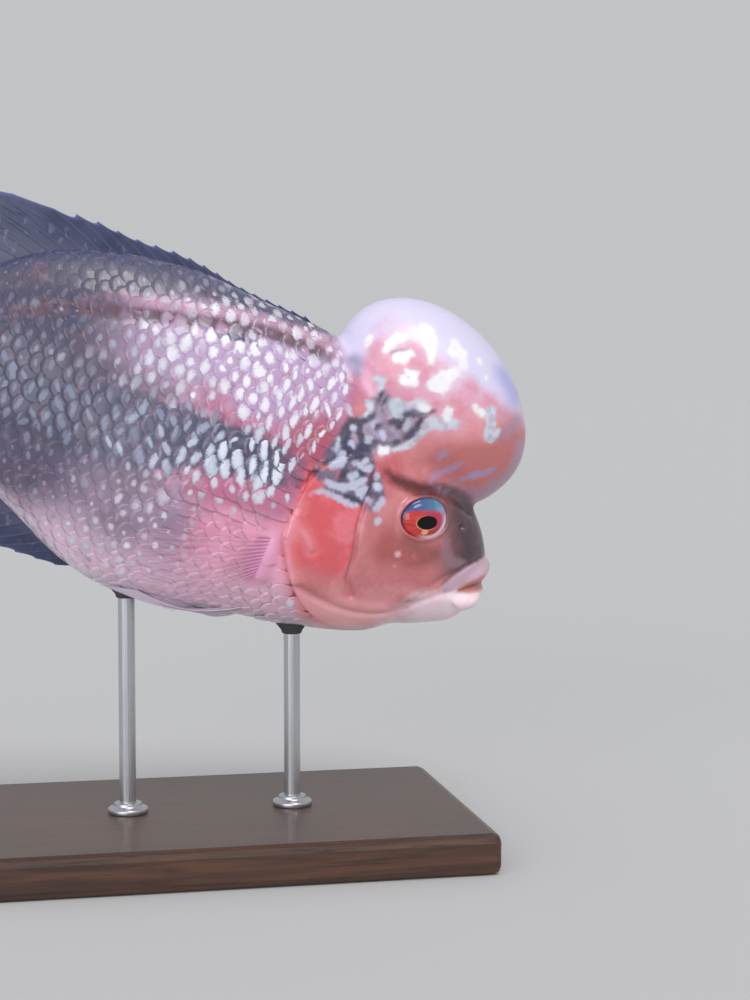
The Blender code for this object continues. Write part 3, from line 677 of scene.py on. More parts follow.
def tones(points):
    # what the skin and the coat are coloured by, from places on the fish
    s, y, z = points.T
    side = np.abs(y)
    back, belly = section(s)[:2]
    placed = otherSide(points)
    found = {name: strokeField(placed, strokes) for name, strokes in markings.items()}
    found.update({name: zoneField(placed, strokes) for name, strokes in zones.items()})
    tip = math.radians(pose["noseDown"])
    height = z * math.cos(tip) + s * math.sin(tip)
    behind = behindEdge(points, scaleEdge, 4.0)
    found["under"] = (smoothStep(21.0, 3.0, z - belly) * smoothStep(186.0, 130.0, s)
                      * smoothStep(24.0, 36.0, s))
    # painted shade: the rear flank darker towards the tail, as if less light reached it, and partly the
    # fish's own greyer rear
    found["shade"] = smoothStep(106.0, 140.0, s + 0.25 * z) * smoothStep(-30.0, -10.0, z)
    found["hump"] = smoothStep(2.6, 0.2, humpDistance(points)) * smoothStep(16.0, 19.0, z)
    found["salmon"] = smoothStep(57.0, 33.0, height + 0.30 * (s - 30.0))
    found["low"] = smoothStep(45.0, 30.0, height + 0.30 * (s - 30.0))
    found["opercle"] = (smoothStep(46.5, 49.0, s) * smoothStep(69.5, 66.0, s) * smoothStep(-20.0, -8.0, z)
                        * smoothStep(19.0, 13.0, z) * smoothStep(6.0, 12.0, side))
    ahead = points + np.array([2.4, 0.0, 0.0])
    found["cheek"] = (1.0 - behindEdge(ahead, scaleEdge, 2.4)) * smoothStep(44.0, 34.0, z)
    found["sinus"] = bump(s - 43.0, 6.0) * bump(z - 21.0, 6.0)
    found["brown"] = smoothStep(2.0, 8.0, side) * (bump(s - 29.0, 9.0) * bump(z + 2.0, 6.0)
                                                   + 0.7 * bump(s - 39.0, 4.0) * bump(z + 1.0, 8.0))
    found["throat"] = (smoothStep(-17.5, -23.5, z + 0.10 * (s - 45.0)) * smoothStep(72.0, 60.0, s)
                       * (1.0 - behindEdge(points, scaleEdge, 2.5)))
    found["lilac"] = smoothStep(4.5, 0.5, z - belly) * smoothStep(14.0, 22.0, s)
    # the snout's zone takes painted shade over its grey-mauve skin, where the snout faces away from the
    # light
    found["snout"] = (smoothStep(28.0, 9.0, s - 0.36 * z) * smoothStep(-6.0, -0.5, z + 0.62 * (s - 10.0))
                      * smoothStep(24.0, 15.0, z))
    found["jaw"] = (smoothStep(34.0, 16.0, s + 0.6 * (z + 16.0))
                    * smoothStep(-6.5, -12.0, z + 0.18 * (s - 12.0)))
    overRed = z - heightOf(bands["redTop"], s) - 3.0
    found["red"] = (smoothStep(118.0, 84.0, s) * smoothStep(7.0, -7.0, overRed)
                    * smoothStep(-18.0, -4.0, z - 0.12 * (s - 60)))
    found["redDeep"] = bump(s - 66.0, 13.0) * bump(z - 23.0, 12.0)
    found["band"] = (smoothStep(-3.5, 4.5, heightOf(bands["top"], s) - z)
                     * smoothStep(-3.5, 4.0, z - heightOf(bands["bottom"], s)) * smoothStep(60.0, 82.0, s))
    found["cluster"] = bump(s - 84.0, 16.0) * bump(z - 11.0, 7.5)
    found["belly"] = (smoothStep(4.0, -14.0, z - 0.13 * np.maximum(s - 100, 0.0))
                      * smoothStep(196.0, 150.0, s))
    found["chest"] = smoothStep(106.0, 84.0, s) * smoothStep(2.0, -6.0, z) * smoothStep(58.0, 64.0, s)
    found["rear"] = smoothStep(86.0, 130.0, s)
    found["tail"] = smoothStep(150.0, 185.0, s)
    apart, under = sideOfChain(points[:, [0, 2]], backGroove)
    above = smoothStep(-1.0, 1.2, -under * apart) * smoothStep(60.0, 70.0, s)
    found["ridge"] = above * smoothStep(9.0, 4.0, apart) * smoothStep(150.0, 112.0, s)
    found["upper"] = above * smoothStep(3.0, 9.0, apart)
    # painted shade: a dark line along the groove under the back's ridge, where the ridge shades it
    found["groove"] = (bump(apart + 0.3 * under, 2.3) * smoothStep(62.0, 72.0, s)
                       * smoothStep(172.0, 150.0, s))
    found["dorsalBase"] = smoothStep(8.0, 0.0, back - z) * smoothStep(64.0, 90.0, s)
    # a dark blue streak just under the groove of the back's ridge
    found["grooveDarkStreak"] = bump(s - 97.0, 7.0) * bump(z - 46.5, 1.9)
    # painted highlight: the upper flank under the back's ridge is paler, with brighter pearls, as if lit
    # from above, and partly the fish's own pale pearls
    higher = 5.0 * smoothStep(86.0, 98.0, s)
    found["shine"] = smoothStep(144.0, 112.0, s) * smoothStep(16.0 + higher, 31.0 + higher, z) * behind
    # the painted shade is lighter where the painted highlight of the upper flank lies
    found["shade"] *= 1.0 - 0.75 * found["shine"] * (1.0 - above)
    return found


def colourBy(piece, fields):
    for name, values in fields.items():
        layer = piece.data.attributes.new(name, "FLOAT", "POINT")
        layer.data.foreach_set("value", np.ascontiguousarray(values, np.float32))


def rgb(red, green, blue):
    # a colour as a picture shows it, made linear
    return tuple(c / 12.92 if c <= 0.04045 else ((c + 0.055) / 1.055) ** 2.4
                 for c in (red / 255, green / 255, blue / 255)) + (1.0,)


class Wire:
    # a shader socket, so that a sum or product of two adds the Math node for it

    def __init__(self, paint, socket):
        self.paint = paint
        self.socket = socket

    def __add__(self, other):
        return self.paint.maths("ADD", self, other)

    def __sub__(self, other):
        return self.paint.maths("SUBTRACT", self, other)

    def __rsub__(self, other):
        return self.paint.maths("SUBTRACT", other, self)

    def __mul__(self, other):
        return self.paint.maths("MULTIPLY", self, other)

    __radd__ = __add__
    __rmul__ = __mul__


class Paint:
    # a material and the few ways its nodes are added

    def __init__(self, name, **fixed):
        self.material = bpy.data.materials.new(name)
        self.material.use_nodes = True
        self.nodes = self.material.node_tree.nodes
        self.links = self.material.node_tree.links
        self.shader = self.nodes["Principled BSDF"]
        for socket, value in fixed.items():
            self.shader.inputs[socket.replace("_", " ")].default_value = value

    def node(self, kind, settings=None, values=None, output=0):
        made = self.nodes.new("ShaderNode" + kind)
        for name, value in (settings or {}).items():
            setattr(made, name, value)
        for name, value in (values or {}).items():
            self.feed(made.inputs[name], value)
        return Wire(self, made.outputs[output])

    def feed(self, socket, value):
        if isinstance(value, Wire):
            self.links.new(value.socket, socket)
        else:
            socket.default_value = value

    def maths(self, operation, first, second=0.0):
        return self.node("Math", {"operation": operation}, {0: first, 1: second})

    def step(self, low, high, value):
        settings = {"interpolation_type": "SMOOTHSTEP"}
        return self.node("MapRange", settings, {"Value": value, "From Min": low, "From Max": high})

    def mix(self, share, first, second, blend="MIX"):
        settings = {"data_type": "RGBA", "blend_type": blend, "clamp_factor": True}
        return self.node("Mix", settings, {0: share, 6: first, 7: second}, 2)

    def layers(self, colour, coats):
        # each tone, or the name of one in fishColours, goes over the ones before it by its share
        for tone, share in coats:
            colour = self.mix(share, colour, fishColours[tone] if isinstance(tone, str) else tone)
        return colour

    def field(self, name):
        return self.node("Attribute", {"attribute_name": name}, output=2)

    def place(self):
        return self.node("TexCoord", output="Object")

    def stretched(self, *scale):
        return self.node("Mapping", None, {"Vector": self.place(), "Scale": scale})

    def noise(self, size, detail=2.0, roughness=0.5, place=None, distortion=0.0):
        # size is in millimetres
        values = {"Vector": place or self.place(), "Scale": 1.0 / (size * mm), "Detail": detail,
                  "Roughness": roughness, "Distortion": distortion}
        return self.node("TexNoise", None, values)

    def bump(self, height, distance):
        # distance is in millimetres
        return self.node("Bump", None, {"Height": height, "Distance": distance * mm})

    def finish(self, **wired):
        for socket, value in wired.items():
            self.feed(self.shader.inputs[socket.replace("_", " ")], value)
        return self.material


# The fish's colours as a picture shows them, in red, green and blue
fishTones = {
    "body": (198, 114, 148), "redDeep": (176, 84, 108), "rear": (112, 107, 132),
    "rearBrown": (120, 106, 120), "band": (64, 69, 97), "belly": (184, 154, 184), "chest": (252, 178, 208),
    # shade is the tone of the painted shade on the rear flank, partly its own greyer rear
    "lilac": (234, 218, 234), "under": (250, 214, 234), "shade": (38, 42, 78), "tail": (84, 92, 122),
    # the groove's dark tone is painted shade in the groove under the back's ridge
    "ridge": (198, 154, 184), "groove": (96, 68, 86), "upper": (84, 82, 102), "dorsal": (64, 72, 108),
    # shine is the tone of the painted highlight on the upper flank
    "grooveDarkStreak": (62, 68, 104), "shine": (190, 168, 208), "cheek": (206, 122, 127),
    "cheekLight": (224, 146, 150), "brown": (174, 86, 84), "opercle": (226, 93, 102),
    "opercleLight": (240, 124, 137), "throat": (252, 164, 172), "throatLow": (255, 194, 196),
    # the snout's near-black tone is painted shade over its grey-mauve skin
    "throatEdge": (250, 220, 232), "snout": (27, 34, 47), "upperLip": (206, 172, 190),
    # the dark tone of the slit between the lips is painted shade
    "jaw": (255, 222, 234), "jawLight": (255, 236, 244), "gape": (186, 118, 104), "slitShade": (108, 54, 50),
    # the hollow tones are painted shade above the eye: dark red by the eye, grey-brown towards the snout
    "hollowShade": (98, 30, 28), "hollowShadeFront": (98, 78, 82), "sinus": (204, 94, 104), "muzzle": (146, 112, 122),
    # the dark tone along the fold over the upper lip is painted shade
    "underEye": (150, 80, 80), "lipShade": (112, 72, 84), "finBase": (244, 174, 212),
    "humpPink": (238, 180, 208), "humpRed": (230, 152, 174), "humpSalmon": (236, 158, 164),
    "humpLow": (204, 118, 118), "lavender": (228, 221, 252), "bluish": (184, 184, 238),
    # the mauve-grey of the hump's lower front edge is painted shade
    "haze": (242, 234, 250), "humpEdgeShade": (172, 146, 172), "rosy": (220, 158, 184), "nape": (142, 138, 176),
    "white": (254, 251, 255), "pale": (200, 197, 218), "paleBlue": (214, 228, 240),
    "streak": (172, 156, 202), "ground": (146, 122, 148), "slate": (80, 84, 114), "dark": (60, 54, 80),
    # the crease tone is painted shadow in the folds
    "pearl": (202, 206, 230), "dot": (236, 192, 200), "crease": (138, 46, 58), "rim": (250, 168, 190),
}
fishColours = {name: rgb(*tone) for name, tone in fishTones.items()}


def fishGround(paint):
    # the colour of the skin and of the scales between their pearls
    c, field, step, layers = fishColours, paint.field, paint.step, paint.layers
    broad, blotch = paint.noise(9.0, 3.0), paint.noise(3.2, 3.0)
    wavy, fine, grain = paint.noise(2.8, 1.0), paint.noise(1.7, 2.0), paint.noise(0.9, 2.0)

    def soft(name, rough=0.8, texture=blotch, edge=0.3):
        # a zone with an uneven border
        return step(0.5 - edge, 0.5 + edge, field(name) + (texture - 0.5) * rough)

    def inside(name, edge=0.3, waver=0.9, grow=0.0, texture=fine):
        # 1 inside strokes, with a border that wavers
        return step(edge + grow, grow - edge, field(name) + (texture - 0.5) * waver)

    def mottled(first, second, texture=broad, low=0.35, high=0.65, share=1.0):
        # the first tone with patches of the second
        return paint.mix(step(low, high, texture) * share, c[first], c[second])

    colour = paint.mix(step(0.1, 0.9, field("redDeep") + (blotch - 0.5) * 1.2), c["body"], c["redDeep"])
    banded = paint.mix(step(0.35, 0.65, blotch) * 0.4 + field("rear") * 0.4, c["band"], c["rear"])
    colour = layers(colour, [
        ("ridge", 1.0 - soft("red", 1.6)),
        # painted highlight on the upper flank, partly its own paler ground
        ("shine", soft("shine", 1.2, blotch, 0.45) * step(0.1, 0.9, 1.1 - field("redDeep")) * 0.8),
        (mottled("rear", "rearBrown"), soft("rear", 1.2, blotch, 0.4) * (1.0 - field("shine") * 0.85)),
        (paint.mix(broad, c["belly"], c["rear"]), soft("belly", 0.9, broad, 0.45) * 0.85),
        (mottled("chest", "body", broad, 0.3, 0.7, 0.5), soft("chest", 0.8, broad, 0.45)),
        ("under", field("under") * (0.84 - field("shade") * 0.4)),
        (banded, soft("band", 1.5, blotch, 0.4)),
        # painted shade on the rear flank
        ("shade", field("shade") * field("shade") * field("shade") * 0.8),
        ("tail", soft("tail")),
        ("ridge", soft("ridge", 0.8, blotch, 0.45)),
        ("upper", soft("upper", 0.8, blotch, 0.45) * step(0.0, 0.4, field("dorsalBase") + 0.25)),
        ("dorsal", soft("dorsalBase", 0.9, blotch, 0.45)),
        # a dark blue streak just under the back's groove
        ("grooveDarkStreak", soft("grooveDarkStreak", 1.0)),
        # painted shade along the groove under the back's ridge
        ("groove", step(0.12, 0.85, field("groove") + (blotch - 0.5) * 0.2) * 0.92),
        ("lilac", field("lilac")),
        ("finBase", inside("finBase", 2.4, 1.8)),
    ])

    cheek = layers(mottled("cheek", "cheekLight", broad, 0.42, 0.66), [
        ("brown", soft("brown", 0.8, broad, 0.5) * 0.9),
        ("underEye", inside("underEye", 2.4, 2.0, 0.6, broad) * 0.8),
    ])
    colour = layers(colour, [
        (cheek, soft("cheek", 0.5, blotch, 0.4)),
        ("sinus", soft("sinus", 0.8, broad, 0.5) * 0.8),
        (mottled("opercle", "opercleLight", broad, 0.40, 0.62), soft("opercle", 0.5, blotch, 0.4)),
        ("throat", soft("throat", 0.7, blotch, 0.5)),
        ("throatLow", field("under") * field("throat") * 0.8),
        ("throatEdge", field("lilac") * field("throat")),
        # painted shade over the snout's grey-mauve skin
        ("snout", soft("snout", 0.5, broad, 0.6) * 0.94),
        ("muzzle", inside("muzzle", 1.2, 1.2, 0.2) * 0.9),
        (mottled("jaw", "jawLight"), soft("jaw", 0.6, blotch, 0.5)),
        ("upperLip", inside("upperLip", 0.7, 0.8, 0.2)),
        # painted shade along the fold over the upper lip
        ("lipShade", inside("lipShade", 0.8, 0.6) * 0.8),
        ("gape", inside("gape", 0.9, 0.8)),
        # painted shade in the slit between the lips
        ("slitShade", inside("slitShade", 0.5, 0.3) * 0.85),
    ])

    low = paint.mix(soft("low", 0.9, broad, 0.45), c["humpSalmon"], c["humpLow"])
    lavender = paint.mix(inside("cool", 3.4, 5.0, 0.0, broad), c["lavender"], c["bluish"])
    hump = layers(mottled("humpPink", "humpRed"), [
        (low, soft("salmon", 1.0, broad, 0.35)),
        ("rosy", inside("rosy", 1.6, 3.0, 0.3, broad) * 0.8),
        ("haze", inside("haze", 3.0, 4.0, 0.8, wavy) * 0.7),
        (lavender, inside("lavender", 3.0, 7.0, 0.6, broad)),
        ("nape", inside("nape", 2.0, 3.0, 0.5, broad) * 0.85),
        # painted shade on the hump's lower front edge
        ("humpEdgeShade", inside("humpEdgeShade", 2.4, 5.0, 0.2, broad) * 0.8),
    ])
    # painted shade in the hollow above the eye, greyer towards the snout
    hollowShade = paint.mix(step(0.25, 0.75, field("snout")), c["hollowShade"], c["hollowShadeFront"])
    colour = layers(colour, [
        (hump, field("hump")),
        (hollowShade, inside("hollowShade", 1.5, 1.2, 0.5) * 0.9),
        (mottled("ground", "pale", blotch, 0.3, 0.7, 0.5), inside("ground", 1.2, 2.4)),
        (mottled("slate", "ground", blotch, 0.3, 0.7, 0.7), inside("slate", 1.1, 2.4, 0.2)),
        (mottled("pale", "paleBlue", blotch, 0.40, 0.60), inside("pale", 0.9, 2.6, 0.15, wavy) * 0.92),
        (mottled("dark", "slate", grain, 0.35, 0.7, 0.35), inside("dark", 0.75, 1.3, 0.2) * 0.9),
        ("haze", inside("white", 2.4, 2.6, 0.9, wavy) * 0.3),
        (mottled("white", "haze", blotch, 0.4, 0.7, 0.6), inside("white", 0.75, 2.4, 0.1, wavy)),
        (mottled("pearl", "pale", grain, 0.3, 0.7, 0.6), inside("pearl", 0.7, 1.8, -0.05) * 0.95),
        ("streak", inside("streak", 1.1, 2.2, 0.2, wavy) * 0.8),
        ("dot", inside("dot", 0.6) * 0.85),
        # painted shadow lines in the folds
        ("crease", inside("crease", 0.9, 0.5) * 0.7),
        ("throat", inside("rim", 2.6, 1.4, 1.2, blotch) * 0.5),
        ("rim", inside("rim", 0.9, 0.5) * 0.85),
    ])
    return colour, blotch, grain


def skinMaterial():
    paint = Paint("fish skin", Coat_Weight=0.5, Coat_Roughness=0.12, Specular_IOR_Level=0.5,
                  Subsurface_Weight=0.12, Subsurface_Scale=0.0016)
    colour, blotch, grain = fishGround(paint)
    mottle = paint.mix(grain, rgb(0, 0, 0), rgb(255, 255, 255))
    colour = paint.mix(0.10, colour, mottle, "OVERLAY")
    relief = grain * 0.5 + paint.noise(0.35, 2.0) * 0.5
    return paint.finish(Base_Color=colour, Roughness=0.30 + blotch * 0.18, Normal=paint.bump(relief, 0.05))


def scaleMaterial():
    paint = Paint("pearled scales", Coat_Weight=0.6, Coat_Roughness=0.14, Specular_IOR_Level=0.5)
    ground, blotch, grain = fishGround(paint)
    ragged = (paint.noise(2.2, 1.0) - 0.5) * 1.0 + (paint.noise(0.8, 1.0) - 0.5) * 0.7

    def reach(mark, waver):
        # 1 on the rim of a mark, less inside it
        across, along = paint.field(mark + "U"), paint.field(mark + "V")
        return paint.maths("SQRT", across * across + along * along) + ragged * waver

    toPearl = reach("pearl", 1.0)
    pearl = paint.step(1.22, 0.60, toPearl) * paint.field("pearled")
    # painted highlight: a white glint in the middle of each pearl
    pearlGlint = paint.step(0.9, 0.1, toPearl)
    fleck = paint.step(1.30, 0.55, reach("fleck", 1.2)) * paint.field("fleck")
    bright, shade = paint.field("pearlBright"), paint.field("shade")
    tone = paint.layers(paint.mix(bright, rgb(146, 130, 152), rgb(242, 234, 250)), [
        (paint.mix(bright, rgb(136, 142, 170), rgb(216, 226, 244)), paint.field("pearlBlue")),
        (rgb(252, 250, 255), pearlGlint * bright * 0.6),
        # painted shade dims the pearls on the rear flank
        (rgb(72, 78, 112), shade * shade * 0.66),
    ])
    tip = paint.field("tip")
    growthRings = paint.maths("SINE", tip * 60.0)
    colour = paint.layers(ground, [
        # painted highlight: each scale's free edge a little paler, against the shade along its raised edge
        (rgb(214, 186, 210), paint.step(0.80, 1.0, tip) * 0.10),
        (tone, fleck * 0.85),
        (tone, pearl),
    ])
    relief = pearl * 0.6 + fleck * 0.3 + grain * 0.15 + growthRings * 0.04
    return paint.finish(Base_Color=colour, Roughness=0.36 - pearl * 0.10 + blotch * 0.10,
                        Normal=paint.bump(relief, 0.12))


def fishPoints(mesh):
    return meshPoints(mesh) / mm * np.array([-1.0, 1.0, 1.0])


def fishNormals(mesh):
    return meshNormals(mesh) * np.array([-1.0, 1.0, 1.0])


def behindEdge(points, chain, soft):
    # 0 in front of a chain that runs down, 1 behind it
    apart, side = sideOfChain(points[:, [0, 2]], chain)
    return smoothStep(-soft, soft, -side * apart)


def fromEye(ds, dz, halfSizes):
    # how far ahead and up of the eye opening's middle, in half sizes as seen from the side
    tip = math.radians(pose["noseDown"])
    ahead = -ds * math.cos(tip) + dz * math.sin(tip) - face["eyeShift"][0]
    up = ds * math.sin(tip) + dz * math.cos(tip) - face["eyeShift"][1]
    return ahead / halfSizes[0], up / halfSizes[1]


def eyeOpening(points):
    centre = eyeShape["centre"]
    return fromEye(points[:, 0] - centre[0], points[:, 2] - centre[2], face["eyeOpening"])


def eyeRing(points):
    # 1 on the rim of the eye opening, less inside it
    return np.hypot(*eyeOpening(points))


def sculptHead(points, normals):
    # pushes the head's folds out and in, in mm; bare leaves out the middle line and the hump
    flat, wide = points[:, [0, 2]], np.abs(points[:, 1])
    s, z = flat.T
    side = smoothStep(4.0, 8.0, wide)
    bare = side * (1.0 - smoothStep(1.5, -0.5, humpDistance(points)))

    def fold(name):
        return sideOfChain(flat, smoothChain(face[name]))

    apart, front = sideOfChain(flat, gillEdge)
    edge, below = front * apart, smoothStep(24.0, 17.0, z) * side
    push = below * np.where(edge > 0, 0.75 * bump(edge, 5.0), -0.75 * bump(edge, 3.2))
    push -= below * 0.375 * (1.0 - np.tanh(edge / 0.3)) * bump(edge, 1.6)

    apart, front = fold("preopercle")
    push -= bare * 0.85 * bump(apart, 0.75) * smoothStep(20.0, 12.0, z)
    push += bare * 0.55 * bump(front * apart - 2.2, 2.0) * smoothStep(20.0, 8.0, z)

    apart, front = fold("throatFold")
    push += side * (0.6 * bump(apart - 2.6, 2.2) * (front > 0) - 0.7 * bump(apart, 0.8))
    apart = fold("gillFold")[0]
    push += side * (0.55 * bump(apart, 0.75) - 0.3 * bump(apart - 1.6, 0.8))
    push -= 0.7 * bump(fold("lipFold")[0], 0.8) * smoothStep(2.0, 6.0, wide) * smoothStep(5.0, 9.0, s)
    along = smoothStep(11.5, 14.0, s) * smoothStep(30.0, 22.0, s)
    push -= side * 0.5 * bump(fold("jawLine")[0], 0.9) * along
    push += side * 1.1 * bump(fold("finBase")[0], 2.4)
    push += bare * 0.4 * bump(fold("cheekBones")[0], 1.8)

    apart = np.linalg.norm(flat - np.array(face["nostril"]), axis=1)
    push += bare * (0.35 * bump(apart - 1.25, 0.5) - 1.3 * bump(apart, 0.75))
    for pore in face["pores"]:
        apart = np.linalg.norm(flat - np.array(pore), axis=1)
        push -= bare * 0.4 * bump(apart, 0.42)

    under = smoothStep(-7.0, -12.0, z) * np.clip(-normals[:, 2], 0.0, 1.0)
    for at, width, fuller in face["underJaw"]:
        push += fuller * bump(s - at, width) * under

    ring, near = eyeRing(points), smoothStep(8.0, 10.0, wide)
    push -= side * 1.6 * bump(fold("brow")[0], 1.9) * smoothStep(1.10, 1.34, ring)
    push += near * (face["eyeRim"] * bump(ring - 1.07, 0.06) - 0.35 * bump(ring - 1.24, 0.09))
    push += near * face["upperLid"] * smoothStep(0.0, 0.8, eyeOpening(points)[1]) * bump(ring - 1.12, 0.15)
    push -= near * face["socket"] * smoothStep(1.0, 0.84, ring)
    return points + normals * push[:, None]


finishing = {
    "creaseWidth": 3.4, "creaseWeight": 0.9, "middleWeight": 0.12, "creaseRounds": 90,
    "firstRounds": 4, "cutRounds": 2, "foldWeight": 0.3, "evenedTo": 72.0,
    "rear": (69.0, 76.0), "rearLevels": 8, "rearKept": 0.52,    # fewer faces under the scales
    # the mesh is cut finer near the gill edge, the eye's rim and the cheek's fold, and round the mouth
    "sideways": 5.0, "gill": 1.3, "gillTop": 22.0, "eyeRing": (1.02, 0.17), "preopercle": 1.0,
    "mouthBack": 13.5, "mouthHeight": (-14.0, 4.5),
}


def softenCreases(points, edges):
    # the hump flows into the head at its sides and keeps its fold in front and at the nape
    away = humpDistance(points) ** 2 + bodyDistance(points) ** 2
    crease = np.exp(-away / (2 * finishing["creaseWidth"] ** 2))
    middle = finishing["middleWeight"]
    side = middle + (1.0 - middle) * smoothStep(5.0, 13.0, np.abs(points[:, 1]))
    return relax(points, edges, crease * side * finishing["creaseWeight"], finishing["creaseRounds"])


def evenHead(points, edges, weight, rounds):
    inHead = points[:, 0] < finishing["evenedTo"]
    return relax(points, edges, weight * inHead, rounds)


print("skin: smoothing")
points = fishPoints(skin.data)
edges = meshEdges(skin.data)
points = relax(points, edges, np.full(len(points), 0.5), finishing["firstRounds"])
points = softenCreases(points, edges)
setMeshPoints(skin.data, straight(points))

rear = skin.vertex_groups.new(name="rear")
weight = smoothStep(*finishing["rear"], points[:, 0])
levels = finishing["rearLevels"]
for level in range(1, levels + 1):
    chosen = np.nonzero(np.round(weight * levels) == level)[0]
    rear.add([int(i) for i in chosen], level / levels, "REPLACE")
fewer = skin.modifiers.new("fewer faces under the scales", "DECIMATE")
fewer.ratio = finishing["rearKept"]
fewer.vertex_group = "rear"
fewer.vertex_group_factor = 10.0
applyAll(skin)
skin.vertex_groups.clear()
points = fishPoints(skin.data)
ahead = int((points[:, 0] < finishing["rear"][0]).sum())
print("skin:", len(skin.data.polygons), "faces", "head verts", ahead, "of", len(points))

bm = bmesh.new()
bm.from_mesh(skin.data)
flat = points[:, [0, 2]]
sideways = np.abs(points[:, 1]) > finishing["sideways"]
fine = sideways & (sideOfChain(flat, gillEdge)[0] < finishing["gill"])
fine &= points[:, 2] < finishing["gillTop"]
fine |= sideways & (np.abs(eyeRing(points) - finishing["eyeRing"][0]) < finishing["eyeRing"][1])
fine |= sideways & (sideOfChain(flat, smoothChain(face["preopercle"]))[0] < finishing["preopercle"])
low, high = finishing["mouthHeight"]
fine |= (points[:, 0] < finishing["mouthBack"]) & (points[:, 2] < high) & (points[:, 2] > low)
bm.verts.ensure_lookup_table()
edgesToCut = [e for e in bm.edges if fine[e.verts[0].index] and fine[e.verts[1].index]]
bmesh.ops.subdivide_edges(bm, edges=edgesToCut, cuts=1, use_grid_fill=True)
bm.normal_update()
bm.to_mesh(skin.data)
bm.free()
points = fishPoints(skin.data)
edges = meshEdges(skin.data)
points = evenHead(points, edges, 0.5, finishing["cutRounds"])
setMeshPoints(skin.data, straight(points))

points = sculptHead(points, fishNormals(skin.data))
points = evenHead(points, edges, finishing["foldWeight"], 1)
coat = behindEdge(points - np.array([2.0, 0.0, 0.0]), scaleEdge, 3.0)
coat *= smoothStep(-0.5, 2.5, humpDistance(points))
setMeshPoints(skin.data, straight(points))
print("skin: markings")
colourBy(skin, tones(points))
points += fishNormals(skin.data) * (trunkRelief(points) - coat * bodyShape["coatDepth"])[:, None]
setMeshPoints(skin.data, posed(points))
outward(skin)
skin.data.shade_smooth()
triangles = sum(len(p.vertices) - 2 for p in skin.data.polygons)
print("skin:", triangles, "triangles")
flesh = ("head", "lower_jaw", "upper_lip", "nuchal_hump", "gill_cover_left", "gill_cover_right",
         "trunk", "tail_stem")
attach(skin, "root")
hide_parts(*flesh)
skin.data.materials.append(skinMaterial())


# Places on the body by s and by the way round from the middle of its flank
wayStep, lengthStep = 0.5, 1.0
wayGrid = np.arange(-90.0, 105.0, wayStep)
lengthGrid = np.arange(40.0, 211.0, lengthStep)
wayTable = np.zeros((len(lengthGrid), len(wayGrid), 2))
wayEnds = np.zeros((len(lengthGrid), 2))
turns = np.linspace(-math.pi / 2 - 1.2, math.pi / 2 + 1.2, 1201)
for i, s in enumerate(lengthGrid):
    ring = bodyPoint(np.full(len(turns), s), turns)
    way = np.concatenate([[0.0], np.cumsum(np.linalg.norm(np.diff(ring, axis=0), axis=1))])
    way -= np.interp(0.0, turns, way)
    wayTable[i, :, 0] = np.interp(wayGrid, way, ring[:, 1])
    wayTable[i, :, 1] = np.interp(wayGrid, way, ring[:, 2])
    wayEnds[i] = np.interp([-math.pi / 2, math.pi / 2], turns, way)


def onBody(s, way):
    a = np.clip((s - lengthGrid[0]) / lengthStep, 0, len(lengthGrid) - 1.001)
    b = np.clip((way - wayGrid[0]) / wayStep, 0, len(wayGrid) - 1.001)
    i, j = a.astype(int), b.astype(int)
    fa, fb = (a - i)[..., None], (b - j)[..., None]
    yz = ((wayTable[i, j] * (1 - fa) + wayTable[i + 1, j] * fa) * (1 - fb)
          + (wayTable[i, j + 1] * (1 - fa) + wayTable[i + 1, j + 1] * fa) * fb)
    return np.concatenate([np.asarray(s)[..., None], yz], -1)


def outOfBody(s, way):
    along = onBody(s + 0.8, way) - onBody(s - 0.8, way)
    across = onBody(s, way + 0.8) - onBody(s, way - 0.8)
    normal = np.cross(across, along)
    return normal / np.linalg.norm(normal, axis=-1, keepdims=True)


def scaleGrid():
    # one scale, flat: u runs from its root to its round free edge, t across it
    rows, columns = coatShape["along"], coatShape["across"]
    u, t = np.meshgrid(np.linspace(0, 1, rows + 1), np.linspace(-1, 1, columns + 1), indexing="ij")
    t = np.sin(t * math.pi / 2)
    end = 0.58 + 0.42 * np.sqrt(np.maximum(1 - t * t, 0.0))
    x = u * end
    y = t * (0.86 + 0.14 * smoothStep(0.0, 0.5, u))
    top = np.stack([x.ravel(), y.ravel(), u.ravel()], -1)
    n = columns + 1
    rim = ([k for k in range(n)] + [i * n + columns for i in range(1, rows + 1)]
           + [rows * n + k for k in range(columns - 1, -1, -1)] + [i * n for i in range(rows - 1, 0, -1)])
    faces = [(i * n + k, (i + 1) * n + k, (i + 1) * n + k + 1, i * n + k + 1)
             for i in range(rows) for k in range(columns)]
    first = len(top)
    under = [first + k for k in range(len(rim))]
    for k in range(len(rim)):
        m = (k + 1) % len(rim)
        faces.append((rim[k], rim[m], under[m], under[k]))
    faces.append(tuple(under[::-1]))
    return top, rim, faces


def scaleSize(s):
    # scales are smaller towards the tail and on the nape
    return (1.0 - 0.30 * smoothStep(125.0, 205.0, s)) * (1.0 - 0.10 * smoothStep(76.0, 60.0, s))


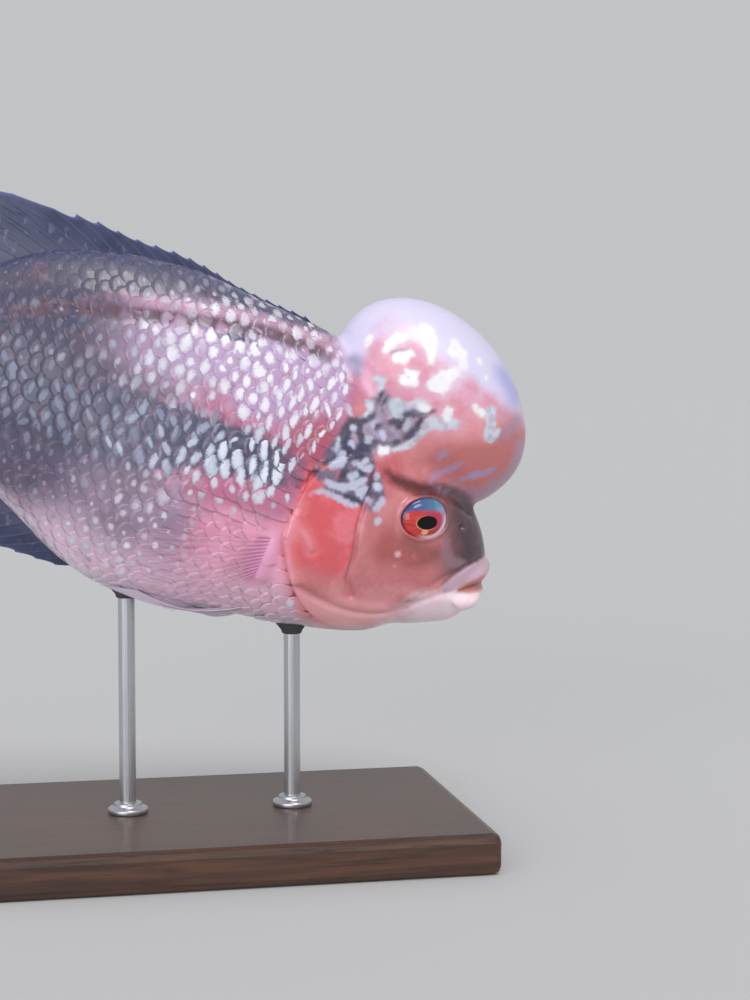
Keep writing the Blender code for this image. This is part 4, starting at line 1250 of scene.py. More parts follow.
def scalePlaces():
    roots, s, column = [], coatShape["from"], 0
    while s < coatShape["to"]:
        size = float(scaleSize(s))
        low, high = (float(np.interp(s, lengthGrid, wayEnds[:, k])) for k in (0, 1))
        pitch = coatShape["rows"] * size
        shift = 0.5 * (column % 2)
        for row in range(int(low / pitch) - 1, int(high / pitch) + 2):
            way = (row + shift) * pitch
            if low + 0.15 * pitch < way < high - 0.05 * pitch:
                roots.append((s, way, size))
        s += coatShape["columns"] * size
        column += 1
    roots = np.array(roots)
    at = onBody(roots[:, 0] + 0.62 * coatShape["length"] * roots[:, 2], roots[:, 1])
    offBase = sideOfChain(at[:, [0, 2]], smoothChain(face["finBase"]))[0]
    keep = (behindEdge(at, scaleEdge, 0.1) > 0.5) & (humpDistance(at) > 0.9) & (offBase > 2.6)
    return roots[keep]


# On the OFBake map each scale has a patch of its own, about 0.003 across
patchShape = {"millimetres": 240.0, "from": (40.0, -100.0), "shrink": 0.1}


def patches(piece, s, way):
    # a scale's patch lies at its root's place on the unwrapped flank
    corner = fetched(piece.data.loops, "vertex_index", 1, np.int32)[:, 0]
    uv = np.stack([s - patchShape["from"][0], way - patchShape["from"][1]], -1) / patchShape["millimetres"]
    piece.data.uv_layers.new(name="OFBake").data.foreach_set("uv", uv[corner].astype(np.float32).ravel())


def scalePearls(places, draw):
    # each scale's pearl and fleck by the zones of the body: half sizes in mm, lean, place and paleness
    count = len(places)
    s, _, z = places.T
    zone = tones(places)
    shine, band, small = zone["shine"], zone["band"], smoothStep(0.2, 0.9, zone["chest"])
    nearHead = smoothStep(90.0, 76.0, s) * smoothStep(6.0, 14.0, z) * smoothStep(47.0, 41.0, z)
    near = shine * (1.0 - nearHead)

    def byZone(start, **shares):
        return start + sum(share * zone[name] for name, share in shares.items())

    def noisy(spread):
        return spread * draw.standard_normal(count)

    wide = byZone(1.05, band=0.05, shade=-0.28, tail=-0.10, belly=-0.10, upper=-0.25)
    wide += 0.45 * near - 0.22 * nearHead + 0.35 * zone["cluster"] * (1.0 - nearHead)
    tall = byZone(1.45, band=1.25, shade=-0.25, cluster=0.4, tail=-0.3, belly=-0.25, ridge=-0.25)
    tall += 0.75 * near + 0.90 * nearHead - 0.4375 * band * zone["shade"] - 0.45 * zone["upper"]
    size = np.exp(noisy(0.22))
    bare = bump(sideOfChain(places[:, [0, 2]], backGroove)[0], 2.4)
    bare *= smoothStep(62.0, 72.0, s) * smoothStep(165.0, 140.0, s)
    pearled = (1.0 - small) * (1.0 - bare) * (1.0 - 0.5 * zone["dorsalBase"])
    pearled *= 1.0 - 0.75 * bump(z - section(s)[1], 3.0)
    pearled *= np.where(draw.random(count) < 0.06 + 0.30 * zone["ridge"], 0.2, 1.0)
    # the pearls' paleness: partly by zone and at random, partly painted light, brighter under the upper
    # flank's painted highlight and dimmer in the rear's painted shade
    bright = byZone(0.22, belly=0.34, under=0.25, shade=-0.22) - 0.136 * zone["belly"] * zone["rear"]
    bright += (1.0 - shine) * (0.62 * zone["cluster"] + 0.25 * nearHead)
    far = zone["upper"] * smoothStep(88.0, 112.0, s)
    bright += 0.70 * shine * (1.0 - 0.75 * far) * (1.0 - 0.25 * smoothStep(96.0, 116.0, s)) + noisy(0.14)
    blue = byZone(0.0, band=0.9, cluster=0.8, shine=0.2, rear=0.2, belly=-0.4)
    zigzag = 0.36 * np.sign(np.sin(s / 4.1 + z / 5.3) + noisy(0.6)) - 0.12
    flecked = np.clip(byZone(0.35, shine=0.65, band=0.55, belly=0.3), 0.0, 1.0) * draw.random(count) ** 0.6
    return {
        "wide": wide * size, "tall": tall * size * np.exp(noisy(0.10)),
        "lean": 0.12 * nearHead + zigzag * band * (1.0 - nearHead) + noisy(0.20),
        "shift": 0.05 * coatShape["length"] * draw.standard_normal((count, 2)),
        "fleckAt": np.stack([7.2 + noisy(0.4), 1.9 * draw.choice([-1.0, 1.0], count) + noisy(0.4)], -1),
        "fleckWide": 0.68 * np.exp(noisy(0.2)),
        "fleckTall": (1.05 + 0.6 * band + 0.3 * shine) * np.exp(noisy(0.25)),
        "fleck": flecked * (1.0 - small) * (1.0 - 0.8 * bare) * (1.0 - 0.6 * zone["upper"]),
        "pearled": pearled, "pearlBright": np.clip(bright, 0.0, 1.0), "pearlBlue": np.clip(blue, 0.0, 1.0),
    }


def scalePiece(name, side, order):
    draw = np.random.default_rng(order)
    top, rim, faces = scaleGrid()
    roots = scalePlaces()
    count = len(roots)

    def uneven(what):
        return coatShape["uneven"][what] * draw.standard_normal(count)

    size = roots[:, 2] * (1.0 + uneven("size"))
    turn = uneven("turn")
    lift = 1.0 + uneven("lift")
    s0 = roots[:, 0] + uneven("place")
    w0 = roots[:, 1] + uneven("place")
    chestAt = tones(onBody(s0, w0) * np.array([1.0, side, 1.0]))["chest"]
    middles = onBody(s0 + 0.75 * coatShape["length"] * size, w0)
    apart, edgeSide = sideOfChain(middles[:, [0, 2]], scaleEdge)
    sunk = smoothStep(7.5, 1.5, -edgeSide * apart) * smoothStep(16.0, 8.0, middles[:, 2])
    x = top[None, :, 0] * coatShape["length"] * size[:, None]
    y = top[None, :, 1] * coatShape["halfWidth"] * size[:, None]
    u = top[None, :, 2] * np.ones((count, 1))
    s = s0[:, None] + x * np.cos(turn)[:, None] - y * np.sin(turn)[:, None]
    way = w0[:, None] + x * np.sin(turn)[:, None] + y * np.cos(turn)[:, None]
    across = top[None, :, 1]
    flat = 1.0 - 0.8 * smoothStep(0.2, 0.8, chestAt)[:, None]
    height = coatShape["root"] * (1.0 - u) ** coatShape["rise"] * lift[:, None]
    height += coatShape["dome"] * (1.0 - across ** 2) * np.sin(math.pi * u ** 0.8) * flat
    height -= coatShape["sunk"] * np.maximum((1.0 - flat) / 0.8, 0.65 * sunk[:, None])
    surface, normal = onBody(s, way), outOfBody(s, way)
    relief = trunkRelief(surface.reshape(-1, 3)).reshape(count, -1)
    upper = surface + normal * (height + relief)[..., None]
    under = (surface + normal * (height + relief - coatShape["thickness"])[..., None])[:, rim]
    points = np.concatenate([upper, under], 1) * np.array([1.0, side, 1.0])
    each = points.shape[1]
    allFaces = [tuple(i * each + k for k in (face if side > 0 else face[::-1]))
                for i in range(count) for face in faces]
    piece = newPiece(name, posed(points.reshape(-1, 3)), allFaces)
    piece.data.shade_smooth()

    def sized(values):
        # in mm on each scale, as a column
        return (values * size)[:, None]

    pearls = scalePearls(onBody(s0 + coatShape["pearlAt"] * size, w0) * np.array([1.0, side, 1.0]), draw)
    x, y, u = (np.concatenate([a, a[:, rim]], 1) for a in (x, y, u))
    offX = x - sized(coatShape["pearlAt"] + pearls["shift"][:, 0])
    offY = y - sized(pearls["shift"][:, 1])
    lean, (fleckX, fleckY) = pearls["lean"][:, None], pearls["fleckAt"].T
    fields = tones(points.reshape(-1, 3))
    fields["pearlU"] = ((offX * np.cos(lean) + offY * np.sin(lean)) / sized(pearls["wide"])).ravel()
    fields["pearlV"] = ((offY * np.cos(lean) - offX * np.sin(lean)) / sized(pearls["tall"])).ravel()
    fields["fleckU"] = ((x - sized(fleckX)) / sized(pearls["fleckWide"])).ravel()
    fields["fleckV"] = ((y - sized(fleckY)) / sized(pearls["fleckTall"])).ravel()
    fields["tip"] = u.ravel()
    for field in ("pearlBright", "pearlBlue", "pearled", "fleck"):
        fields[field] = np.repeat(pearls[field], each)
    colourBy(piece, fields)
    patches(piece, np.repeat(s0, each) + x.ravel() * patchShape["shrink"],
            np.repeat(w0, each) + y.ravel() * patchShape["shrink"])
    return piece


print("coat: scales")
pearledScales = scaleMaterial()
for name, side, order in (("scales_left", 1.0, 11), ("scales_right", -1.0, 12)):
    scales = scalePiece(name, side, order)
    print(name, sum(len(p.vertices) - 2 for p in scales.data.polygons), "triangles")
    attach(scales, "root")
    scales.data.materials.append(pearledScales)


# Eyes: a ball whose iris, pupil and rims are set out as they look from the side
eyeLook = {
    "outline": (7.4, 6.3),      # half width and height of what shows
    "flatter": 0.90, "roll": 0.13, "deeper": 0.2,
    "pupil": (-0.035, -0.155), "pupilSize": (0.45, 0.33),
    "iris": (-0.14, -0.08), "irisSize": (0.82, 0.84),
    "pupilDepth": 0.30, "irisRidge": 0.12, "irisGroove": 0.12,
}


def eyePiece(word, side):
    bpy.ops.mesh.primitive_uv_sphere_add(segments=96, ring_count=64, radius=1.0)
    piece = bpy.context.object
    piece.name = piece.data.name = "eyeball_" + word
    unit = meshPoints(piece.data)
    long, wide, tall = eyeShape["halfAxes"]
    turn = math.radians(eyeShape["turn"])
    ds, dy, dz = -unit[:, 0] * long, unit[:, 2] * wide * eyeLook["flatter"], unit[:, 1] * tall
    across, up = fromEye(ds, dz, eyeLook["outline"])

    def ringOf(what):
        # 1 on the rim of the pupil or the iris, less inside it
        (middleX, middleY), (halfX, halfY) = eyeLook[what], eyeLook[what + "Size"]
        return np.hypot((across - middleX) / halfX, (up - middleY) / halfY)

    pupil, iris = ringOf("pupil"), ringOf("iris")
    outer = smoothStep(0.0, 0.3, unit[:, 2])
    dy += outer * eyeLook["irisRidge"] * bump(pupil - 1.12, 0.14)
    dy -= outer * eyeLook["pupilDepth"] * smoothStep(1.02, 0.9, pupil)
    dy -= outer * eyeLook["irisGroove"] * bump(iris - 1.0, 0.06)
    s = ds * math.cos(turn) - dy * math.sin(turn)
    y = ds * math.sin(turn) + dy * math.cos(turn)
    y -= eyeLook["roll"] * dz + eyeLook["deeper"]
    centre = eyeShape["centre"]
    points = np.stack([centre[0] + s, side * (centre[1] + y), centre[2] + dz], -1)
    setMeshPoints(piece.data, posed(points))
    outward(piece)
    piece.data.shade_smooth()
    angle = np.arctan2(up - eyeLook["pupil"][1], across - eyeLook["pupil"][0])
    colourBy(piece, {"across": across, "up": up, "pupil": pupil, "iris": iris,
                     "fibreX": np.cos(angle), "fibreY": np.sin(angle)})
    return piece


def eyeMaterial():
    paint = Paint("wet eye", Roughness=0.3, Coat_Weight=1.0, Coat_Roughness=0.03, Specular_IOR_Level=0.15)
    step = paint.step
    across, up, pupil, iris = (paint.field(name) for name in ("across", "up", "pupil", "iris"))
    rays = {"X": paint.field("fibreX") * 5.0, "Y": paint.field("fibreY") * 5.0, "Z": pupil * 0.6}
    place = paint.node("CombineXYZ", None, rays)
    fibres = paint.node("TexNoise", None, {"Vector": place, "Scale": 1.6, "Detail": 3.0})
    uneven = paint.noise(1.2, 2.0) - 0.5
    red = paint.layers(rgb(184, 38, 46), [
        (rgb(212, 66, 56), step(0.35, 0.68, fibres)),
        (rgb(188, 44, 84), step(-0.15, 0.45, across + up * 0.5) * 0.85),
        (rgb(150, 52, 44), step(-0.35, -0.70, up) * step(-0.5, 0.1, across) * 0.5),
    ])
    blue = paint.layers(rgb(66, 88, 146), [
        (rgb(76, 124, 156), step(-0.5, 0.45, across + uneven * 0.4)),
        (rgb(92, 150, 176), step(0.25, 0.5, across + uneven * 0.5)),
        (rgb(150, 156, 214), step(0.50, 0.80, across - (up - 0.5) * 0.6 + uneven * 0.3)),
    ])
    out = paint.maths("SQRT", across * across + up * up)
    # the pale rim round the eye's lower right, partly a painted highlight where the rim catches the light
    paleRimAndGlint = step(0.16, 0.05, paint.maths("ABSOLUTE", out - 0.88))
    fold = up - 0.40 + across * 0.05 + across * across * 0.10 + uneven * 0.14
    gold = step(1.18, 1.06, pupil) * step(0.25, -0.5, across + up * 0.4 - 0.1)
    aside, above = across + 0.13, up + 0.60
    glint = paint.maths("SQRT", aside * aside + above * above * 1.3)
    black = step(1.05, 0.95, pupil + uneven * 0.08)
    colour = paint.layers(rgb(104, 66, 104), [
        (rgb(172, 126, 146), step(-0.6, 0.2, across)),
        (red, step(1.08, 0.94, iris + uneven * 0.16)),
        (rgb(242, 216, 224), paleRimAndGlint * step(0.30, -0.45, up - across * 0.85 + 0.55) * 0.92),
        (blue, step(-0.12, 0.14, fold)),
        (rgb(232, 152, 98), gold * 0.8),
        (rgb(250, 176, 132), step(0.20, 0.08, glint)),
        (rgb(5, 4, 6), black),
    ])
    relief = fibres * step(1.0, 1.1, pupil)
    return paint.finish(Base_Color=colour, Coat_Weight=1.0 - black * 0.75, Normal=paint.bump(relief, 0.06))


print("eyes")
wetEye = eyeMaterial()
for word, side in (("left", 1.0), ("right", -1.0)):
    eye = eyePiece(word, side)
    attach(eye, "root")
    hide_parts("eye_" + word)
    eye.data.materials.append(wetEye)


# Fins: thin closed shells over rays, which are functions from 0 at the root to 1 at the tip
dorsalShape = {
    "start": 64.0, "end": 187.0, "spines": 17, "soft": 12, "rootDepth": 5.0,
    "heights": [(64.0, 1.6), (80.0, 1.8), (100.0, 2.7), (115.0, 4.8), (130.0, 10.2), (145.0, 15.2),
                (157.0, 14.4), (175.0, 12.0)],
    "lean": (26.0, 44.0), "softLength": (28.0, 15.0), "lastAngle": 12.0, "point": 38.0, "curl": 9.5,
    "wave": 0.8,
    "notch": 0.10, "softNotch": 0.014,
}
analShape = {
    "start": 119.0, "end": 183.0, "spines": 7, "soft": 11, "rootDepth": 4.0,
    "length": (9.0, 27.0), "lean": (22.0, 34.0), "softLength": (28.0, 13.0), "lastAngle": 8.0,
    "point": 34.0, "curl": 14.0, "wave": -1.2,
    "notch": 0.11, "softNotch": 0.014,
}
trailing = {"at": 0.45, "spread": 0.27}     # where the soft rays draw out into a point
caudalShape = {
    "root": 203.0, "halfRoot": 15.5, "rays": 17, "length": 58.0, "spread": 27.0, "rounding": 0.22,
    "curl": 7.0, "wave": 2.4, "softNotch": 0.008,
}
pectoralShape = {
    "topRoot": (70.5, -7.0), "bottomRoot": (72.5, -19.0), "sunk": 0.8, "rays": 13, "length": 47.0,
    "lowerShorter": 0.40, "upperShorter": 0.14, "out": 17.0, "angles": (-9.0, -36.0), "bow": 0.16,
    "wave": 1.2, "softNotch": 0.016,
}
pelvicShape = {
    "root": (68.0, 11.0, -27.5), "tip": (119.0, 6.5, -35.0), "drop": 4.4, "rays": 8,
    "firstRay": 0.72, "shorter": 0.55, "rootSlant": (2.0, -8.0, -3.0), "tipSlant": (0.0, -4.0, 2.0),
    "softNotch": 0.014,
}
# Half thicknesses and a ray's width in mm, each with how much of it is gone at the tip
finBuild = {"membrane": (0.10, 0.5), "ray": (0.34, 0.7), "spine": (0.42, 0.6), "rayWidth": (0.42, 0.45),
            "fork": 0.17, "forkFrom": (0.35, 0.85), "halfWaves": 2.1, "rows": 26, "perGap": 8}


def between(pair, t):
    return pair[0] + (pair[1] - pair[0]) * t


def leaningRay(rootS, rootZ, length, angle, curl, side=1.0):
    # a ray in the middle plane; angle is its rise over the way back, and it curls over

    def at(t):
        turn = np.radians(angle - curl * t / 2)
        reach = length * t
        return np.stack([rootS + reach * np.cos(turn), 0.0 * t, rootZ + side * reach * np.sin(turn)], -1)

    return at


def softRay(shape, share, angle):
    peak = bump(share - trailing["at"], trailing["spread"])
    last = angle + (shape["lastAngle"] - angle) * share ** 0.8
    return between(shape["softLength"], share) + shape["point"] * peak, last


def dorsalRays():
    shape = dorsalShape
    count = shape["spines"] + shape["soft"]
    rays = []
    for i in range(count):
        s = between((shape["start"], shape["end"]), i / (count - 1))
        slope = math.degrees(math.atan2(section(s + 0.5)[0] - section(s - 0.5)[0], 1.0))
        lean = between(shape["lean"], i / shape["spines"])
        high = monotoneCurve([p[0] for p in shape["heights"]], [p[1] for p in shape["heights"]], s)
        length = (high + shape["rootDepth"]) / math.sin(math.radians(lean))
        angle = lean + slope
        share = (i - shape["spines"] + 1) / shape["soft"]
        if share > 0:
            length, angle = softRay(shape, share, angle)
        rays.append(leaningRay(s, section(s)[0] - shape["rootDepth"], length, angle, shape["curl"]))
    return rays


def analRays():
    shape = analShape
    count = shape["spines"] + shape["soft"]
    rays = []
    for i in range(count):
        s = between((shape["start"], shape["end"]), i / (count - 1))
        length = between(shape["length"], (i + 0.5) / shape["spines"])
        angle = between(shape["lean"], i / shape["spines"])
        share = (i - shape["spines"] + 1) / shape["soft"]
        if share > 0:
            length, angle = softRay(shape, share, angle)
        rays.append(leaningRay(s, section(s)[1] + shape["rootDepth"], length, angle, shape["curl"], -1.0))
    return rays


def caudalRays():
    shape = caudalShape
    middle = section(208.0)[3]
    rays = []
    for across in np.linspace(-1.0, 1.0, shape["rays"]):
        length = shape["length"] * (1 - shape["rounding"] * across ** 4)
        rootZ, angle = middle + shape["halfRoot"] * across, shape["spread"] * across
        rays.append(leaningRay(shape["root"], rootZ, length, angle, -shape["curl"] * across))
    return rays


def pairedRay(root, length, angle, side):
    out = math.radians(pectoralShape["out"])

    def at(t):
        turn = out * (1 - 3 * pectoralShape["bow"] * t)
        return np.stack([root[0] + length * t * math.cos(angle) * np.cos(turn),
                         side * (root[1] + length * t * np.sin(turn)),
                         root[2] + length * t * math.sin(angle) * np.cos(turn)], -1)

    return at


def pectoralRays(side):
    shape = pectoralShape
    rays = []
    for t in np.linspace(0.0, 1.0, shape["rays"]):
        s, z = (between(pair, t) for pair in zip(shape["topRoot"], shape["bottomRoot"]))
        root = (s, float(bodyWidth(s, z)) - shape["sunk"], z)
        shorter = shape["lowerShorter"] * t ** 1.6 + shape["upperShorter"] * (1 - t) ** 3
        length = shape["length"] * (1 - shorter)
        rays.append(pairedRay(root, length, math.radians(between(shape["angles"], t)), side))
    return rays


def pelvicRay(root, tip, side):
    def at(t):
        p = root + np.outer(t, tip - root)
        return np.stack([p[:, 0], side * p[:, 1], p[:, 2] - pelvicShape["drop"] * np.sin(math.pi * t)], -1)

    return at


def pelvicRays(side):
    shape = pelvicShape
    rays = []
    for i in range(shape["rays"]):
        t = i / (shape["rays"] - 1)
        reach = shape["firstRay"] if i == 0 else 1.0 - shape["shorter"] * t
        root = np.array(shape["root"]) + t * np.array(shape["rootSlant"])
        tip = np.array(shape["tip"]) + t * np.array(shape["tipSlant"])
        rays.append(pelvicRay(root, root + (tip - root) * reach, side))
    return rays


def tapered(what, t):
    size, gone = finBuild[what]
    return size * (1.0 - gone * t)


def finShell(name, rays, shape):
    rows, perGap = finBuild["rows"], finBuild["perGap"]
    t = np.linspace(0.0, 1.0, rows + 1)
    spines = shape.get("spines", 0)
    columns, ridges, thicknesses = [], [], []
    for c in range((len(rays) - 1) * perGap + 1):
        k = min(c // perGap, len(rays) - 2)
        f = c / perGap - k
        notch = shape["notch"] if k < spines - 1 else shape["softNotch"]
        reach = t * (1.0 - notch * 4.0 * f * (1.0 - f))
        first, second = rays[k](reach), rays[k + 1](reach)
        column = first + (second - first) * f
        swing = math.sin(finBuild["halfWaves"] * math.pi * c / perGap / len(rays))
        column[:, 1] += shape.get("wave", 0.0) * swing * t ** 2
        gap = np.linalg.norm(second - first, axis=1)
        spiny = k + round(f) < spines
        fork = 0.0 if spiny else finBuild["fork"] * gap * smoothStep(*finBuild["forkFrom"], t)
        away = np.abs(min(f, 1.0 - f) * gap - fork)
        columns.append(column)
        ridges.append(bump(away, tapered("rayWidth", t)))
        thicknesses.append(tapered("spine" if spiny else "ray", t))
    grid, ridge = np.array(columns), np.array(ridges)
    normal = np.cross(np.gradient(grid, axis=0), np.gradient(grid, axis=1))
    normal /= np.maximum(np.linalg.norm(normal, axis=-1, keepdims=True), 1e-9)
    half = (tapered("membrane", t) + np.array(thicknesses) * ridge)[..., None]
    high, low = grid + normal * half, grid - normal * half
    count = len(columns)
    points = np.concatenate([high.reshape(-1, 3), low.reshape(-1, 3)])
    n, other = rows + 1, count * (rows + 1)
    faces = []
    for i in range(count - 1):
        for j in range(rows):
            quad = (i * n + j, (i + 1) * n + j, (i + 1) * n + j + 1, i * n + j + 1)
            faces.append(quad)
            faces.append(tuple(q + other for q in quad[::-1]))
    border = ([i * n for i in range(count)] + [(count - 1) * n + j for j in range(1, n)]
              + [i * n + rows for i in range(count - 2, -1, -1)] + [j for j in range(rows - 1, 0, -1)])
    for first, second in zip(border, border[1:] + border[:1]):
        faces.append((second, first, first + other, second + other))
    fin = newPiece(name, posed(points), faces)
    outward(fin)
    fin.data.shade_smooth()
    along = np.tile(np.tile(t, count), 2)
    colourBy(fin, {"ray": np.tile(ridge.ravel(), 2), "along": along})
    return fin


def darkFinMaterial():
    paint = Paint("blue fin", Coat_Weight=0.4, Coat_Roughness=0.2, Specular_IOR_Level=0.5)
    ray, along = paint.field("ray"), paint.field("along")
    broad, fine = paint.noise(7.0, 3.0), paint.noise(0.8, 2.0)
    streaks = paint.noise(2.2, 2.0, 0.5, paint.stretched(1.0, 1.0, 0.55))
    pale = paint.step(0.58, 0.68, streaks + (fine - 0.5) * 0.1) * paint.step(0.75, 0.30, along)
    colour = paint.layers(rgb(30, 42, 80), [
        (rgb(50, 58, 98), paint.step(0.3, 0.7, broad)),
        (rgb(78, 86, 126), ray * 0.5),
        (rgb(128, 130, 160), pale * 0.5),
        (rgb(86, 90, 158), paint.step(0.88, 1.0, along) * 0.6),
        (rgb(98, 94, 122), paint.step(0.45, 0.12, along) * 0.5),
    ])
    relief = fine * 0.4 + paint.maths("SINE", along * 260.0) * ray * 0.25
    return paint.finish(Base_Color=colour, Roughness=0.38 + broad * 0.15, Normal=paint.bump(relief, 0.06))


def clearFinMaterial(name, flesh, web, rayTone, solid):
    # pink at its fleshy root and see-through between the rays
    paint = Paint(name, Coat_Weight=0.5, Coat_Roughness=0.15, Specular_IOR_Level=0.5)
    ray, along = paint.field("ray"), paint.field("along")
    broad, fine = paint.noise(5.0, 3.0), paint.noise(0.8, 2.0)
    colour = paint.mix(ray, web, rayTone)
    colour = paint.mix(paint.step(0.28, 0.08, along), colour, flesh)
    clear = paint.step(0.04, 0.24, along + (broad - 0.5) * 0.12)
    alpha = 1.0 - clear * (1.0 - solid) * (1.0 - ray * 0.13)
    relief = fine * 0.4 + paint.maths("SINE", along * 220.0) * ray * 0.25
    return paint.finish(Base_Color=colour, Roughness=0.34 + fine * 0.1, Alpha=alpha,
                        Normal=paint.bump(relief, 0.05))


print("fins")
blueFin = darkFinMaterial()
pinkFin = clearFinMaterial("pink clear fin", rgb(234, 160, 200), rgb(206, 150, 184),
                           rgb(232, 190, 214), 0.06)
whiteFin = clearFinMaterial("pale belly fin", rgb(228, 196, 216), rgb(214, 200, 220),
                            rgb(242, 234, 244), 0.80)
fins = [
    ("dorsal_fin", dorsalRays(), dorsalShape, blueFin, "fin_dark"),
    ("anal_fin", analRays(), analShape, blueFin, "fin_dark"),
    ("caudal_fin", caudalRays(), caudalShape, blueFin, "fin_dark"),
]
for word, side in (("left", 1.0), ("right", -1.0)):
    fins.append(("pectoral_fin_" + word, pectoralRays(side), pectoralShape, pinkFin, "fin_clear"))
    fins.append(("pelvic_fin_" + word, pelvicRays(side), pelvicShape, whiteFin, "fin_clear"))
for node, rays, shape, finish, slot in fins:
    fin = finShell(node + "_rays", rays, shape)
    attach(fin, "root")
    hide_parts(node)
    fin.data.materials.append(finish)


# The stand keeps its CAD pieces and gains a collar at each rod's foot and a cup under the belly
# Profiles are radii and heights in mm
standFittings = {
    "collar": [(6.0, 0.0), (6.0, 1.6), (4.2, 2.2), (4.2, 3.2)],
    "cup": [(2.9, 0.0), (3.3, 1.2), (5.2, 3.5), (5.2, 4.5)],
    "cupReach": 1.6,        # how far the cup rises over the rod's end
    "bevel": 0.35,
}


def woodMaterial():
    paint = Paint("dark stained wood", Coat_Weight=0.35, Coat_Roughness=0.25, Specular_IOR_Level=0.45)
    grain = paint.noise(3.0, 6.0, 0.6, paint.stretched(0.06, 1.0, 1.0), 0.6)
    pores = paint.noise(0.5, 3.0, 0.6, paint.stretched(0.03, 1.0, 1.0))
    colour = paint.layers(rgb(52, 32, 24), [
        (rgb(96, 62, 42), paint.step(0.35, 0.7, grain)),
        (rgb(70, 44, 32), paint.noise(30.0, 2.0) * 0.5),
        (rgb(24, 14, 11), paint.step(0.62, 0.72, pores) * 0.6),
    ])
    relief = grain * 0.5 - paint.step(0.60, 0.72, pores)
    return paint.finish(Base_Color=colour, Roughness=0.34 + grain * 0.2, Normal=paint.bump(relief, 0.08))


def steelMaterial():
    paint = Paint("brushed steel", Metallic=1.0)
    brush = paint.noise(0.25, 3.0, 0.6, paint.stretched(1.0, 1.0, 0.02))
    colour = paint.mix(brush, rgb(176, 178, 182), rgb(214, 216, 220))
    return paint.finish(Base_Color=colour, Roughness=0.24 + brush * 0.18, Normal=paint.bump(brush, 0.02))


def cushionMaterial():
    paint = Paint("grey rubber", Specular_IOR_Level=0.35)
    grain = paint.noise(0.6, 3.0)
    colour = paint.mix(grain, rgb(58, 58, 60), rgb(84, 84, 86))
    return paint.finish(Base_Color=colour, Roughness=0.6 + grain * 0.2, Normal=paint.bump(grain, 0.05))


def turned(name, place, profile):
    # a turned piece: a disc drawn up ring by ring, from radius and height in mm
    bpy.ops.object.select_all(action="DESELECT")
    bpy.ops.mesh.primitive_circle_add(vertices=64, radius=profile[0][0] * mm, fill_type="NGON",
                                      location=(place[0], place[1], place[2] + profile[0][1] * mm))
    piece = bpy.context.object
    piece.name = piece.data.name = name
    bpy.ops.object.mode_set(mode="EDIT")
    bpy.ops.mesh.select_all(action="SELECT")
    for (radius, height), (nextRadius, nextHeight) in zip(profile, profile[1:]):
        rise = (0.0, 0.0, (nextHeight - height) * mm)
        bpy.ops.mesh.extrude_region_move(TRANSFORM_OT_translate={"value": rise})
        share = nextRadius / radius
        bpy.ops.transform.resize(value=(share, share, 1.0))
    bpy.ops.object.mode_set(mode="OBJECT")
    outward(piece)
    bpy.ops.object.transform_apply(location=True, rotation=True, scale=True)
    edge = piece.modifiers.new("eased edges", "BEVEL")
    edge.width = standFittings["bevel"] * mm
    edge.segments = 2
    edge.limit_method = "ANGLE"
    applyAll(piece)
    bpy.ops.object.shade_smooth_by_angle(angle=math.radians(35))
    return piece


print("stand")
wood, steel, rubber = woodMaterial(), steelMaterial(), cushionMaterial()
for node, finish in (("stand_base", wood), ("stand_rod_front", steel), ("stand_rod_rear", steel)):
    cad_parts[node].data.materials.clear()
    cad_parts[node].data.materials.append(finish)
for word in ("front", "rear"):
    low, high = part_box("stand_rod_" + word)
    middle = [(a + b) / 2 for a, b in zip(low, high)]
    cupHeight = standFittings["cup"][-1][1]
    foot = (middle[0], middle[1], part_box("stand_base")[1][2])
    collar = turned("stand_collar_" + word, foot, standFittings["collar"])
    rest = (middle[0], middle[1], high[2] - (cupHeight - standFittings["cupReach"]) * mm)
    cup = turned("stand_cup_" + word, rest, standFittings["cup"])
    for piece, finish, slot in ((collar, steel, "stand_steel"), (cup, rubber, "stand_steel")):
        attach(piece, "root")
        piece.data.materials.append(finish)


# The camera stands where the photo was taken from, a little above the fish and towards its tail
view = {"azimuth": -12.0, "elevation": 4.0, "distance": 600.0, "mmPerPixel": 0.31,
        "snoutPixel": (489.0, 566.0), "frame": (750.0, 1000.0), "sensor": 36.0}


def outTo(azimuth, elevation):
    # the way out from the fish, with the azimuth from its right side towards its head
    level = math.cos(elevation)
    return Vector((math.sin(azimuth) * level, -math.cos(azimuth) * level, math.sin(elevation)))


def aim(thing, away):
    # turns a camera or a lamp back along the way out
    thing.rotation_mode = "QUATERNION"
    thing.rotation_quaternion = (-away).to_track_quat("-Z", "Y")


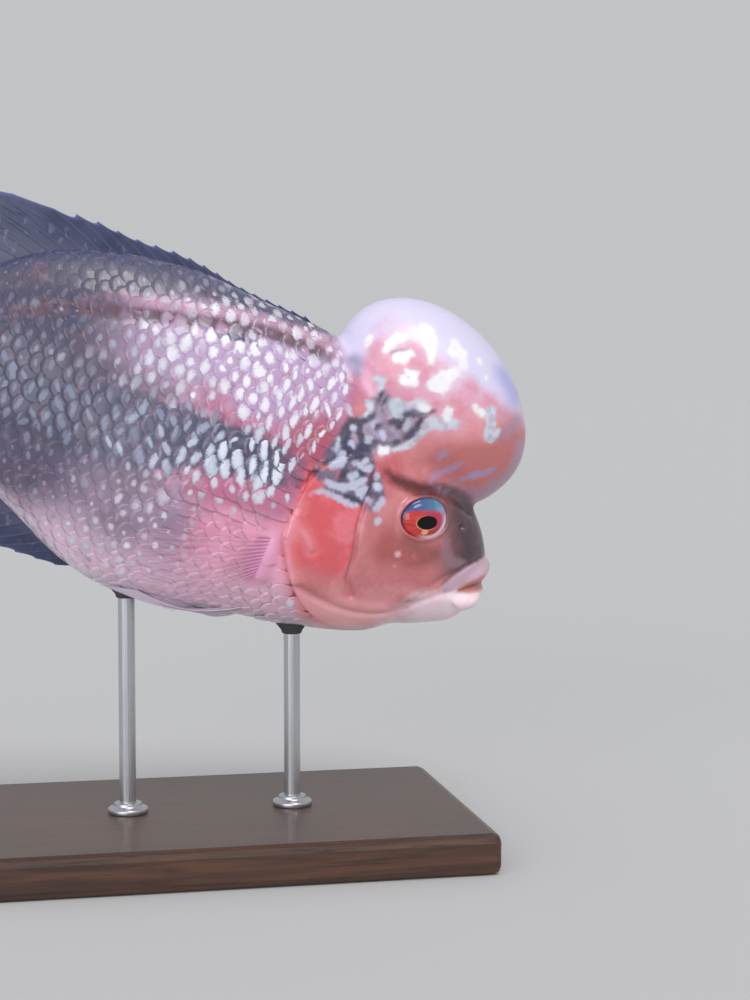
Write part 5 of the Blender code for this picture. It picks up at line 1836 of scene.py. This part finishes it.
azimuth, elevation = math.radians(view["azimuth"]), math.radians(view["elevation"])
back = outTo(azimuth, elevation)
right = Vector((math.cos(azimuth), math.sin(azimuth), 0.0))
up = back.cross(right)
snout = Vector((pose["forward"], 0.0, pose["height"])) * mm
pixel = view["mmPerPixel"] * mm
target = (snout - (view["snoutPixel"][0] - view["frame"][0] / 2) * pixel * right
          + (view["snoutPixel"][1] - view["frame"][1] / 2) * pixel * up)
camera = bpy.data.objects.new("camera", bpy.data.cameras.new("camera"))
bpy.context.scene.collection.objects.link(camera)
bpy.context.scene.camera = camera
camera.location = target + back * view["distance"] * mm
aim(camera, back)
camera.data.sensor_width = view["sensor"]
camera.data.lens = view["sensor"] * view["distance"] / (view["mmPerPixel"] * view["frame"][1])
camera.data.clip_start, camera.data.clip_end = 0.01, 20.0

bpy.context.scene.view_settings.view_transform = "Standard"

# Two broad suns and an even world; azimuth is round from the camera's own side to its right
lamps = [
    {"name": "key", "azimuth": 28.0, "elevation": 56.0, "spread": 28.0, "power": 1.20,
     "colour": (1.0, 0.985, 0.97)},
    {"name": "fill", "azimuth": -24.0, "elevation": 3.0, "spread": 50.0, "power": 1.45,
     "colour": (0.98, 0.98, 1.0)},
]
for lamp in lamps:
    light = bpy.data.lights.new(lamp["name"], "SUN")
    light.angle = math.radians(lamp["spread"])
    light.energy = lamp["power"]
    light.color = lamp["colour"]
    holder = bpy.data.objects.new(lamp["name"], light)
    bpy.context.scene.collection.objects.link(holder)
    holder.location = outTo(azimuth + math.radians(lamp["azimuth"]), math.radians(lamp["elevation"]))
    aim(holder, holder.location)

world = bpy.data.worlds.new("studio")
bpy.context.scene.world = world
world.use_nodes = True
studio = {"light": (0.965, 0.975, 1.0), "strength": 0.56,
          "floorTone": (0.598, 0.603, 0.611), "floorRadius": 8.0}
sky = world.node_tree.nodes["Background"]
sky.inputs["Color"].default_value = (*studio["light"], 1.0)
sky.inputs["Strength"].default_value = studio["strength"]

bpy.ops.object.select_all(action="DESELECT")
bpy.ops.mesh.primitive_circle_add(vertices=128, radius=studio["floorRadius"], fill_type="NGON")
floor = bpy.context.object
floor.name = floor.data.name = "floor"
ground = Paint("studio floor", Base_Color=(*studio["floorTone"], 1.0), Roughness=0.95,
               Specular_IOR_Level=0.1)
floor.data.materials.append(ground.material)
